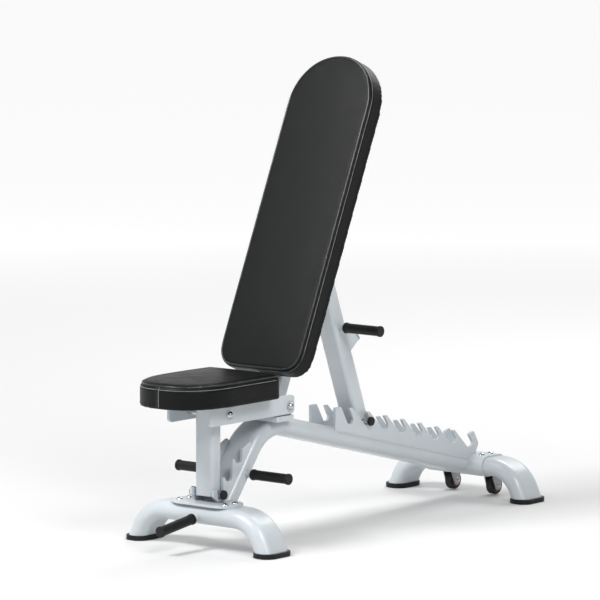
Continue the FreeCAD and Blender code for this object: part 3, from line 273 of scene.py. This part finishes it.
def powder_coat():
    paint = tuple(colours().paint)
    f = Finish("powder_coat", paint, 0.33)
    f.tint(f.noise(6.0, 2.0), scaled(paint, 0.93))
    f.tint(f.noise(70.0, 5.0), scaled(paint, 0.80), 0.60, 0.78, 0.35)
    f.shine(f.noise(18.0, 4.0), 0.05)
    f.relief(f.noise(420.0, 2.0), 0.00012, 0.35)
    f.relief(f.noise(1500.0, 2.0), 0.00004, 0.25)
    f.set("Coat Weight", 0.25)
    f.set("Coat Roughness", 0.18)
    return f.material


def weld_paint():
    paint = scaled(tuple(colours().paint), 0.97)
    f = Finish("painted_weld", paint, 0.36)
    f.tint(f.noise(140.0, 3.0), scaled(paint, 0.82), 0.55, 0.75, 0.5)
    f.shine(f.noise(60.0), 0.05)
    f.relief(f.noise(300.0, 2.0), 0.0005, 0.7)
    f.set("Coat Weight", 0.25)
    return f.material


def pad_vinyl():
    vinyl = tuple(colours().vinyl)
    f = Finish("grained_vinyl", vinyl, 0.37)
    f.tint(f.noise(9.0, 3.0), scaled(vinyl, 1.35), 0.35, 0.70, 0.8)
    # painted shade: the vinyl is darkened in the grain's valleys, the cell edges that the relief below sinks
    f.tint(f.cells(520.0, "DISTANCE_TO_EDGE"), scaled(vinyl, 0.45), 0.10, 0.0, 0.8)
    f.shine(f.noise(24.0, 4.0), 0.06)
    f.relief(f.ramp(f.cells(520.0, "DISTANCE_TO_EDGE"), 0.0, 0.22, 0.0, 1.0), 0.00022, 0.55)
    f.relief(f.noise(1400.0, 2.0), 0.00006, 0.5)
    f.relief(f.noise(9.0, 1.0), 0.0010, 0.08)
    f.set("Specular IOR Level", 0.14)
    return f.material


def piping_vinyl_painted_highlight():
    # painted highlight: the piping and closing-seam cords are the pads' black vinyl made 3.5 times lighter, to
    # stand in for the bright line their rounded tops catch
    vinyl = scaled(tuple(colours().vinyl), 3.5)
    f = Finish("piping_vinyl_painted_highlight", vinyl, 0.24)
    f.tint(f.noise(30.0), scaled(vinyl, 1.5))
    f.shine(f.noise(60.0), 0.05)
    f.relief(f.cells(700.0), 0.00010, 0.5)
    return f.material


def stitch_thread():
    thread = tuple(colours().thread)
    f = Finish("stitch_thread", thread, 0.6)
    f.tint(f.noise(400.0), scaled(thread, 0.6))
    f.relief(f.noise(3000.0), 0.0001, 0.6)
    f.set("Sheen Weight", 0.2)
    return f.material


def grip_rubber():
    rubber = tuple(colours().rubber)
    f = Finish("grip_rubber", rubber, 0.42)
    f.set("Specular IOR Level", 0.25)
    f.tint(f.noise(40.0, 4.0), scaled(rubber, 2.2), 0.4, 0.75, 0.7)
    f.shine(f.noise(90.0), 0.08)
    f.relief(f.noise(900.0, 3.0), 0.00016, 0.5)
    return f.material


def cap_rubber():
    rubber = scaled(tuple(colours().rubber), 1.2)
    f = Finish("cap_rubber", rubber, 0.45)
    f.set("Specular IOR Level", 0.25)
    f.tint(f.noise(35.0, 5.0), scaled(rubber, 3.0), 0.55, 0.85, 0.6)
    f.shine(f.noise(70.0), 0.08)
    f.relief(f.noise(700.0, 3.0), 0.0002, 0.5)
    return f.material


def tyre_rubber():
    rubber = tuple(colours().rubber)
    f = Finish("tyre_rubber", rubber, 0.6)
    f.tint(f.noise(120.0, 5.0), scaled(rubber, 4.0), 0.5, 0.8, 0.6)
    f.shine(f.noise(90.0), 0.08)
    f.relief(f.noise(1100.0, 3.0), 0.0003, 0.5)
    return f.material


def hub_plastic():
    hub = tuple(colours().hub)
    f = Finish("hub_plastic", hub, 0.28)
    f.tint(f.noise(60.0), scaled(hub, 0.7))
    f.shine(f.noise(80.0), 0.05)
    f.relief(f.noise(900.0), 0.00005, 0.4)
    return f.material


def metal(name, colour, roughness, stretch, depth):
    """Plated or brushed metal with fine lines along one direction."""
    f = Finish(name, colour, roughness, 1.0)
    lines = f.noise(60.0, 4.0, f.stretched(stretch))
    f.tint(f.noise(25.0, 4.0), scaled(colour, 0.82))
    f.shine(lines, 0.06)
    f.relief(lines, depth, 0.4)
    return f.material


def dust_cover():
    """Black felted cloth stapled under a board."""
    felt = (0.016, 0.016, 0.017)
    f = Finish("dust_cover", felt, 0.85)
    f.tint(f.noise(45.0, 5.0), scaled(felt, 2.0), 0.4, 0.7, 0.8)
    f.shine(f.noise(60.0), 0.06)
    f.relief(f.cells(900.0), 0.0002, 0.5)
    f.relief(f.noise(500.0, 5.0, f.stretched((1.0, 0.2, 1.0))), 0.0002, 0.6)
    return f.material


def bumper_rubber():
    grey = (0.34, 0.37, 0.40)
    f = Finish("bumper_rubber", grey, 0.5)
    f.tint(f.noise(60.0, 4.0), scaled(grey, 0.75))
    f.shine(f.noise(80.0), 0.06)
    f.relief(f.noise(900.0), 0.00015, 0.5)
    return f.material


def plug_plastic():
    f = Finish("plug_plastic", (0.014, 0.014, 0.015), 0.5)
    f.tint(f.noise(50.0), (0.03, 0.03, 0.032))
    f.shine(f.noise(80.0), 0.06)
    f.relief(f.noise(1200.0), 0.0001, 0.5)
    return f.material


FINISHES = {
    "frame_paint": powder_coat,
    "pad_vinyl": pad_vinyl,
    "grip_rubber": grip_rubber,
    "cap_rubber": cap_rubber,
    "wheel_tyre": tyre_rubber,
    "wheel_hub": hub_plastic,
    "caster_zinc": lambda: metal("zinc_plate", (0.34, 0.35, 0.37), 0.42, (1.0, 1.0, 6.0), 0.00008),
    "bolt_chrome": lambda: metal("bright_bolt", (0.56, 0.58, 0.60), 0.24, (1.0, 1.0, 1.0), 0.00003),
    "pin_steel": lambda: metal("pin_steel", (0.62, 0.63, 0.65), 0.27, (12.0, 1.0, 1.0), 0.00004),
    "board_wood": dust_cover,
    "bumper_rubber": bumper_rubber,
    "plug_plastic": plug_plastic,
    "painted_weld": weld_paint,
    "piping_vinyl_painted_highlight": piping_vinyl_painted_highlight,
    "stitch_thread": stitch_thread,
}
MADE = {}


def finish_of(slot):
    if slot not in MADE:
        MADE[slot] = FINISHES[slot]()
    return MADE[slot]


# ---------------------------------------------------------------- mesh helpers
def piece_from(bm, name, material, body, smooth=True):
    """Make an object of a bmesh, with its finish, and let it ride on a body."""
    mesh = bpy.data.meshes.new(name)
    bm.to_mesh(mesh)
    bm.free()
    piece = bpy.data.objects.new(name, mesh)
    bpy.context.scene.collection.objects.link(piece)
    dress(piece, material, body, smooth)
    return piece


def dress(piece, material, body, smooth=True):
    piece.data.materials.clear()
    piece.data.materials.append(finish_of(material))
    for polygon in piece.data.polygons:
        polygon.use_smooth = smooth
    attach(piece, body)


def node_copy(node):
    """A CAD node's mesh, merged into one closed skin."""
    bm = bmesh.new()
    bm.from_mesh(frame["nodes"][node].data)
    bmesh.ops.remove_doubles(bm, verts=bm.verts, dist=1e-5)
    return bm


def cut_loop(mesh, point, normal, keep=lambda co: True):
    """The line in which a plane cuts a mesh, as points in order; the longest piece of it."""
    bm = bmesh.new()
    bm.from_mesh(mesh)
    bmesh.ops.bisect_plane(bm, geom=bm.verts[:] + bm.edges[:] + bm.faces[:], dist=1e-6,
                           plane_co=point, plane_no=normal, clear_inner=True, clear_outer=True)
    bmesh.ops.delete(bm, geom=[v for v in bm.verts if not keep(v.co)], context="VERTS")
    bmesh.ops.remove_doubles(bm, verts=bm.verts, dist=1e-5)
    best, closed, left = [], False, set(bm.verts)
    while left:
        start = next((v for v in left if len(v.link_edges) == 1), None) or next(iter(left))
        line, here = [start], start
        left.discard(start)
        while True:
            after = next((e.other_vert(here) for e in here.link_edges if e.other_vert(here) in left),
                         None)
            if after is None:
                break
            left.discard(after)
            line.append(after)
            here = after
        if len(line) > len(best):
            best = line
            closed = len(line) > 2 and any(e.other_vert(here) is start for e in here.link_edges)
    points = [v.co.copy() for v in best]
    bm.free()
    return points, closed


def evened(points, closed, step):
    """The same line with evenly spaced points."""
    line = points + [points[0]] if closed else points
    lengths = [(b - a).length for a, b in zip(line, line[1:])]
    total = sum(lengths)
    count = max(4, round(total / step))
    out, i, gone = [], 0, 0.0
    for k in range(count if closed else count + 1):
        want = total * k / count
        while i < len(lengths) - 1 and gone + lengths[i] < want:
            gone += lengths[i]
            i += 1
        share = 0.0 if lengths[i] < 1e-9 else min(1.0, (want - gone) / lengths[i])
        out.append(line[i].lerp(line[i + 1], share))
    return out


def eased(points, closed, rounds):
    """Points moved towards their neighbours' middle, to take out small kinks."""
    for _ in range(rounds):
        last = len(points)
        points = [p if not closed and k in (0, last - 1)
                  else (points[k - 1] + p * 2 + points[(k + 1) % last]) / 4
                  for k, p in enumerate(points)]
    return points


def tube_along(points, closed, radius, name, resolution=3):
    """A round cord of vinyl or weld along a line, as a mesh."""
    curve = bpy.data.curves.new(name, "CURVE")
    curve.dimensions = "3D"
    curve.bevel_depth = radius
    curve.bevel_resolution = resolution
    curve.use_fill_caps = not closed
    spline = curve.splines.new("POLY")
    spline.points.add(len(points) - 1)
    for target, p in zip(spline.points, points):
        target.co = (*p, 1.0)
    spline.use_cyclic_u = closed
    holder = bpy.data.objects.new(name, curve)
    mesh = bpy.data.meshes.new_from_object(holder)
    bpy.data.objects.remove(holder)
    bpy.data.curves.remove(curve)
    bm = bmesh.new()
    bm.from_mesh(mesh)
    bpy.data.meshes.remove(mesh)
    bmesh.ops.remove_doubles(bm, verts=bm.verts, dist=1e-6)
    bmesh.ops.recalc_face_normals(bm, faces=bm.faces)
    return bm


# ---------------------------------------------------------------- padding
def filled_copy(pad_node, board_node, name):
    """A pad's CAD solid with its board's pocket filled, as a new object."""
    bm = node_copy(pad_node)
    board = frame["nodes"][board_node].data.copy()
    bm.from_mesh(board)
    bpy.data.meshes.remove(board)
    bmesh.ops.remove_doubles(bm, verts=bm.verts, dist=1e-5)
    mesh = bpy.data.meshes.new(name)
    bm.to_mesh(mesh)
    bm.free()
    piece = bpy.data.objects.new(name, mesh)
    bpy.context.scene.collection.objects.link(piece)
    return piece


def voxel_skin(piece, voxel, inset, held):
    """Even skin of small faces, drawn in a little where it is free to swell."""
    remesh = piece.modifiers.new("skin", "REMESH")
    remesh.mode = "VOXEL"
    remesh.voxel_size = voxel
    bpy.context.view_layer.update()
    evaluated = piece.evaluated_get(bpy.context.evaluated_depsgraph_get())
    mesh = bpy.data.meshes.new_from_object(evaluated)
    piece.modifiers.clear()
    piece.data = mesh
    bm = bmesh.new()
    bm.from_mesh(mesh)
    for _ in range(SKIN_ROUNDS):
        bmesh.ops.smooth_vert(bm, verts=bm.verts, factor=0.5, use_axis_x=True, use_axis_y=True,
                              use_axis_z=True)
    bm.normal_update()
    for v in bm.verts:
        v.co -= v.normal * (inset * (HELD_SHRINK if held(v.co) else 1.0))
    bm.to_mesh(mesh)
    bm.free()


def evened_field(mesh, field, rounds):
    """Average a field of moves over the mesh's edges, so that a tight cover keeps no wrinkles."""
    count = len(mesh.vertices)
    ends = np.empty(len(mesh.edges) * 2, dtype=np.int64)
    mesh.edges.foreach_get("vertices", ends)
    a, b = ends[0::2], ends[1::2]
    links = np.bincount(ends, minlength=count)
    for _ in range(rounds):
        total = np.bincount(a, field[b], count) + np.bincount(b, field[a], count)
        field = 0.5 * field + 0.5 * total / links
    return field


def swell(piece, axis, held, travel):
    """Blow the foam up against its cover, with the board side held and the travel capped."""
    group = piece.vertex_groups.new(name="held")
    group.add([v.index for v in piece.data.vertices if held(v.co)], 1.0, "REPLACE")
    before = np.array([v.co for v in piece.data.vertices])
    cloth = piece.modifiers.new("foam", "CLOTH")
    s = cloth.settings
    s.quality = 5
    s.mass = 0.3
    s.tension_stiffness = s.compression_stiffness = 15.0
    s.shear_stiffness = 5.0
    s.bending_stiffness = 8.0
    s.use_pressure = True
    s.uniform_pressure_force = 4.0
    s.effector_weights.gravity = 0.0
    s.vertex_group_mass = group.name
    cloth.point_cache.frame_start, cloth.point_cache.frame_end = 1, SWELL_FRAMES
    scene = bpy.context.scene
    for number in range(1, SWELL_FRAMES + 1):
        scene.frame_set(number)
    evaluated = piece.evaluated_get(bpy.context.evaluated_depsgraph_get())
    after = np.array([v.co for v in evaluated.data.vertices])
    piece.modifiers.clear()
    scene.frame_set(1)
    moves = after - before
    reach = np.linalg.norm(moves, axis=1, keepdims=True)
    moves *= np.minimum(1.0, travel / np.maximum(reach, 1e-9))
    normals = np.array([v.normal for v in piece.data.vertices])
    facing = SIDE_SWELL + (1.0 - SIDE_SWELL) * np.clip(normals @ np.array(axis), 0.0, 1.0)
    outward = evened_field(piece.data, (moves * normals).sum(1), SWELL_ROUNDS)
    outward = outward * evened_field(piece.data, facing, FACING_ROUNDS)
    piece.data.vertices.foreach_set("co", (before + outward[:, None] * normals).ravel())
    piece.vertex_groups.clear()


def subdivided(piece):
    bm = bmesh.new()
    bm.from_mesh(piece.data)
    bmesh.ops.subdivide_edges(bm, edges=bm.edges, cuts=1, smooth=1.0, use_grid_fill=True)
    bmesh.ops.smooth_vert(bm, verts=bm.verts, factor=0.5, use_axis_x=True, use_axis_y=True,
                          use_axis_z=True)
    bm.to_mesh(piece.data)
    bm.free()


def tucked(piece, axis, line, width, depth):
    """Draw the cover in beside a seam that lies at one height along the pad's axis."""
    bm = bmesh.new()
    bm.from_mesh(piece.data)
    bm.normal_update()
    for v in bm.verts:
        off = (v.co.dot(axis) - line) / width
        if abs(off) < 3:
            v.co -= v.normal * depth * math.exp(-off * off)
    bm.to_mesh(piece.data)
    bm.free()


def stitches(points, closed, length, radius):
    """Short rounded stitches end to end along a line, a little proud of the surface."""
    line = evened(points, closed, length)
    bm = bmesh.new()
    for a, b in zip(line, line[1:] + line[:1] if closed else line[1:]):
        way = b - a
        a2, b2 = a + way * STITCH_GAP, b - way * STITCH_GAP
        made = bmesh.ops.create_cone(bm, cap_ends=True, segments=6, radius1=radius, radius2=radius,
                                     depth=(b2 - a2).length)
        turn = way.to_track_quat("Z", "Y").to_matrix().to_4x4()
        bmesh.ops.transform(bm, verts=made["verts"], matrix=Matrix.Translation((a2 + b2) / 2) @ turn)
    return bm


def upholster(node, board, body, axis, crown, drop, seam_at):
    """Swollen pad with piping, a tucked seam, stitches and a closing seam across its edge."""
    s = sizes()
    low_face = min(v.co.dot(axis) for v in frame["nodes"][node].data.vertices)

    def held(co):
        return co.dot(axis) < low_face + HELD_HEIGHT

    pad = filled_copy(node, board, f"{node}_cover")
    voxel_skin(pad, s.voxel, s.shrink, held)
    swell(pad, axis, held, crown)
    subdivided(pad)
    top = max(v.co.dot(axis) for v in pad.data.vertices)
    piping_line = top - drop
    stitch_line = piping_line - s.stitch_drop
    tucked(pad, axis, piping_line - s.piping * TUCK_BELOW, *SEAM_TUCK)
    tucked(pad, axis, stitch_line, *STITCH_TUCK)
    dress(pad, "pad_vinyl", body)
    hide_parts(node)

    def surface_line(height):
        points, closed = cut_loop(pad.data, axis * height, axis)
        return eased(evened(points, closed, LINE_STEP), closed, LINE_ROUNDS), closed

    line, closed = surface_line(piping_line)
    piece_from(tube_along(line, closed, s.piping, f"{node}_piping"), f"{node}_piping",
               "piping_vinyl_painted_highlight", body)
    line, closed = surface_line(stitch_line)
    piece_from(stitches(line, closed, s.stitch, s.thread), f"{node}_stitches", "stitch_thread",
               body, smooth=False)
    across, side = seam_at
    middle = sum((v.co for v in pad.data.vertices), Vector()) / len(pad.data.vertices)

    def on_edge(co):
        return ((co - middle).dot(side) > 0 and
                low_face + CLOSING_ABOVE < co.dot(axis) < piping_line - s.piping)

    line, closed = cut_loop(pad.data, middle, across, on_edge)
    line = eased(evened(line, closed, CLOSING_STEP), closed, CLOSING_ROUNDS)
    for shift, label in ((-CLOSING_HALF, "a"), (CLOSING_HALF, "b")):
        points = [p + across * shift for p in line]
        piece_from(tube_along(points, False, CLOSING_CORD, f"{node}_closing_seam_{label}", 2),
                   f"{node}_closing_seam_{label}", "piping_vinyl_painted_highlight", body)
    sewn = [p + across * CLOSING_STITCH for p in line]
    piece_from(stitches(sewn, False, s.stitch, s.thread), f"{node}_closing_stitches",
               "stitch_thread", body, smooth=False)
    return pad


# ---------------------------------------------------------------- operators
class BENCH_OT_finishes(bpy.types.Operator):
    """Give every carried-over part its finish"""
    bl_idname = "bench.finishes"
    bl_label = "Finishes"

    def execute(self, context):
        slots = {s["node"]: s["material_slot"] for s in frame["record"]["subparts"]}
        for name, node in frame["nodes"].items():
            if not node.material_slots:
                raise RuntimeError(f"{name} has no material slot")
            for slot in node.material_slots:
                slot.material = finish_of(slots[name])
        return {"FINISHED"}


class BENCH_OT_seat_cover(bpy.types.Operator):
    """Upholster the seat"""
    bl_idname = "bench.seat_cover"
    bl_label = "Seat cover"

    def execute(self, context):
        upholster("seat_pad", "seat_board", "seat", Vector((0, 0, 1)), sizes().seat_crown,
                  sizes().seat_piping_drop, (Vector((1, 0, 0)), Vector((0, -1, 0))))
        return {"FINISHED"}


class BENCH_OT_back_cover(bpy.types.Operator):
    """Upholster the back"""
    bl_idname = "bench.back_cover"
    bl_label = "Back cover"

    def execute(self, context):
        board = frame["nodes"]["back_board"].data
        front = [p for p in board.polygons if abs(p.normal.x) < 1e-3 and p.normal.y < -0.1]
        ahead = max(front, key=lambda p: p.area).normal.copy()
        downward = Vector((1, 0, 0)).cross(ahead)
        if downward.z > 0:
            downward = -downward
        upholster("back_pad", "back_board", "back", ahead, sizes().back_crown,
                  sizes().back_piping_drop, (Vector((1, 0, 0)), downward))
        return {"FINISHED"}


def pin_across(name, node, caps, body):
    """One steel bar from cap to cap, chamfered at its ends."""
    low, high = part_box(node)
    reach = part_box(caps)[1].x - PIN_IN_CAP
    radius = (high.z - low.z) / 2
    bm = bmesh.new()
    made = bmesh.ops.create_cone(bm, cap_ends=True, segments=48, radius1=radius, radius2=radius,
                                 depth=2 * reach)
    place = Matrix.Translation((low + high) / 2) @ Matrix.Rotation(math.pi / 2, 4, "Y")
    bmesh.ops.transform(bm, verts=made["verts"], matrix=place)
    rims = [e for e in bm.edges if all(abs(abs(v.co.x) - reach) < 1e-5 for v in e.verts)]
    bmesh.ops.bevel(bm, geom=rims, offset=sizes().pin_chamfer, segments=2, profile=0.5,
                    affect="EDGES", material=-1)
    pin = piece_from(bm, name, "pin_steel", body)
    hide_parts(node)
    return pin


class BENCH_OT_pins(bpy.types.Operator):
    """Make the two locking pins that lie in the notched plates"""
    bl_idname = "bench.pins"
    bl_label = "Locking pins"

    def execute(self, context):
        pin_across("strut_locking_pin", "strut_pin", "strut_pin_caps", "strut")
        pin_across("post_locking_pin", "seat_post_pin", "seat_post_pin_caps", "seat_post")
        return {"FINISHED"}


def weld_line(name, points, body, closed=False):
    """A rippled bead of weld along a line."""
    line = evened(points, closed, BEAD_STEP)
    bm = tube_along(line, closed, sizes().weld, name, 2)
    for v in bm.verts:
        index, nearest = min(enumerate(line), key=lambda pair: (pair[1] - v.co).length_squared)
        wave = 1 + BEAD_RIPPLE * math.sin(index * BEAD_RIPPLE_TURN)
        v.co = nearest + (v.co - nearest) * wave
    return piece_from(bm, name, "painted_weld", body)


class BENCH_OT_welds(bpy.types.Operator):
    """Lay weld beads where plates meet tubes"""
    bl_idname = "bench.welds"
    bl_label = "Welds"

    def execute(self, context):
        for side, sign in (("left", -1), ("right", 1)):
            node = f"{side}_back_ladder"
            low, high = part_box(node)
            outer = sign * max(abs(low.x), abs(high.x))
            bottom = {}
            for v in frame["nodes"][node].data.vertices:
                key = round(v.co.y, 3)
                if abs(v.co.x - outer) < 1e-4 and (key not in bottom or v.co.z < bottom[key].z):
                    bottom[key] = v.co.copy()
            line = sorted(bottom.values(), key=lambda p: p.y)
            first, reach = line[0], high.y - low.y - LADDER_BEAD_SHORT
            along = Vector((0, 1, -sizes().spine_fall))
            ends = [first + along * (reach * share) for share in (LADDER_BEAD_START, 1.0)]
            weld_line(f"{side}_ladder_weld", ends, "frame")
        plate_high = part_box("front_mount_plate")[1]
        leg = node_copy("main_tube")
        mesh = bpy.data.meshes.new("leg")
        leg.to_mesh(mesh)
        leg.free()
        foot = Vector((0, 0, plate_high.z + LEG_BEAD_RISE))
        line, closed = cut_loop(mesh, foot, Vector((0, 0, 1)),
                                lambda co: co.y < plate_high.y - LEG_BEAD_INSET)
        bpy.data.meshes.remove(mesh)
        weld_line("leg_weld", line, "frame", closed)
        return {"FINISHED"}


class BENCH_OT_stage(bpy.types.Operator):
    """Make the floor, lights and camera"""
    bl_idname = "bench.stage"
    bl_label = "Stage"

    def execute(self, context):
        bm = bmesh.new()
        bmesh.ops.create_grid(bm, x_segments=1, y_segments=1, size=30.0)
        mesh = bpy.data.meshes.new("floor")
        bm.to_mesh(mesh)
        bm.free()
        floor = bpy.data.objects.new("floor", mesh)
        context.scene.collection.objects.link(floor)
        f = Finish("floor", tuple(colours().floor), 0.9)
        # painted glow: the floor emits white light, weak within a metre of the middle and strong from 7 m out, so
        # that it reads as a bright backdrop
        away = f.nodes.new("ShaderNodeVectorMath")
        away.operation = "LENGTH"
        f.link(f.place, away.inputs[0])
        f.set("Emission Color", (1.0, 1.0, 1.0, 1.0))
        f.link(f.ramp(away.outputs["Value"], 1.0, 7.0, 0.10, 0.72), f.shader.inputs["Emission Strength"])
        mesh.materials.append(f.material)
        world = bpy.data.worlds.new("studio")
        context.scene.world = world
        world.use_nodes = True
        tree = world.node_tree
        sky = tree.nodes["Background"]
        way = tree.nodes.new("ShaderNodeTexCoord").outputs["Generated"]
        split = tree.nodes.new("ShaderNodeSeparateXYZ")
        tree.links.new(way, split.inputs["Vector"])
        fade = tree.nodes.new("ShaderNodeMapRange")
        for socket, value in (("From Min", 0.12), ("From Max", 0.75), ("To Min", 0.72), ("To Max", 0.38)):
            fade.inputs[socket].default_value = value
        tree.links.new(split.outputs["Z"], fade.inputs["Value"])
        beside = tree.nodes.new("ShaderNodeMapRange")
        for socket, value in (("From Min", -0.1), ("From Max", 0.6), ("To Min", 1.0), ("To Max", 0.45)):
            beside.inputs[socket].default_value = value
        tree.links.new(split.outputs["X"], beside.inputs["Value"])
        both = tree.nodes.new("ShaderNodeMath")
        both.operation = "MULTIPLY"
        tree.links.new(fade.outputs["Result"], both.inputs[0])
        tree.links.new(beside.outputs["Result"], both.inputs[1])
        tree.links.new(both.outputs["Value"], sky.inputs["Strength"])
        sky.inputs["Color"].default_value = (1.0, 1.0, 1.0, 1.0)
        context.scene.view_settings.view_transform = "Standard"
        middle = (CAD_LOW + CAD_HIGH) / 2
        for name, place, size, power in (("key", (-1.0, -3.0, 4.0), 1.5, 215.0),
                                         ("fill", (3.4, -1.6, 3.2), 1.8, 120.0),
                                         ("rim", (-0.6, 3.2, 3.6), 2.5, 110.0)):
            light = bpy.data.lights.new(name, "AREA")
            light.size, light.energy = size, power
            lamp = bpy.data.objects.new(name, light)
            context.scene.collection.objects.link(lamp)
            lamp.location = place
            lamp.rotation_euler = (middle - Vector(place)).to_track_quat("-Z", "Y").to_euler()
        data = bpy.data.cameras.new("camera")
        data.lens, data.sensor_width = VIEW_LENS, VIEW_SENSOR
        data.clip_end = 100.0
        camera = bpy.data.objects.new("camera", data)
        context.scene.collection.objects.link(camera)
        azimuth, elevation = math.radians(VIEW_AZIMUTH), math.radians(VIEW_ELEVATION)
        pivot = JOINTS["back_recline"]["pos_m"]
        target = Vector((0.0, pivot[1] + VIEW_BEHIND_PIVOT, VIEW_HEIGHT))
        back = Vector((math.sin(azimuth) * math.cos(elevation),
                       -math.cos(azimuth) * math.cos(elevation), math.sin(elevation)))
        camera.location = target + back * VIEW_DISTANCE
        camera.rotation_euler = (-back).to_track_quat("-Z", "Y").to_euler()
        context.scene.camera = camera
        return {"FINISHED"}


class BENCH_PT_panel(bpy.types.Panel):
    """Lists the bench's pieces and settings"""
    bl_idname = "BENCH_PT_panel"
    bl_label = "Weight Bench"
    bl_space_type = "VIEW_3D"
    bl_region_type = "UI"
    bl_category = "Bench"

    def draw(self, context):
        layout = self.layout
        for group in (context.scene.bench_sizes, context.scene.bench_colours):
            for name in group.bl_rna.properties.keys():
                if name not in ("rna_type", "name"):
                    layout.prop(group, name)
        for operator in OPERATORS:
            layout.operator(operator.bl_idname)


OPERATORS = (BENCH_OT_finishes, BENCH_OT_seat_cover, BENCH_OT_back_cover, BENCH_OT_pins,
             BENCH_OT_welds, BENCH_OT_stage)
CLASSES = (BenchSizes, BenchColours, *OPERATORS, BENCH_PT_panel)


def register():
    for cls in CLASSES:
        bpy.utils.register_class(cls)
    bpy.types.Scene.bench_sizes = bpy.props.PointerProperty(type=BenchSizes)
    bpy.types.Scene.bench_colours = bpy.props.PointerProperty(type=BenchColours)


def unregister():
    del bpy.types.Scene.bench_sizes
    del bpy.types.Scene.bench_colours
    for cls in reversed(CLASSES):
        bpy.utils.unregister_class(cls)


def main():
    register()
    bpy.ops.bench.finishes()
    bpy.ops.bench.seat_cover()
    bpy.ops.bench.back_cover()
    bpy.ops.bench.pins()
    bpy.ops.bench.welds()
    bpy.ops.bench.stage()


if __name__ == "__main__":
    main()
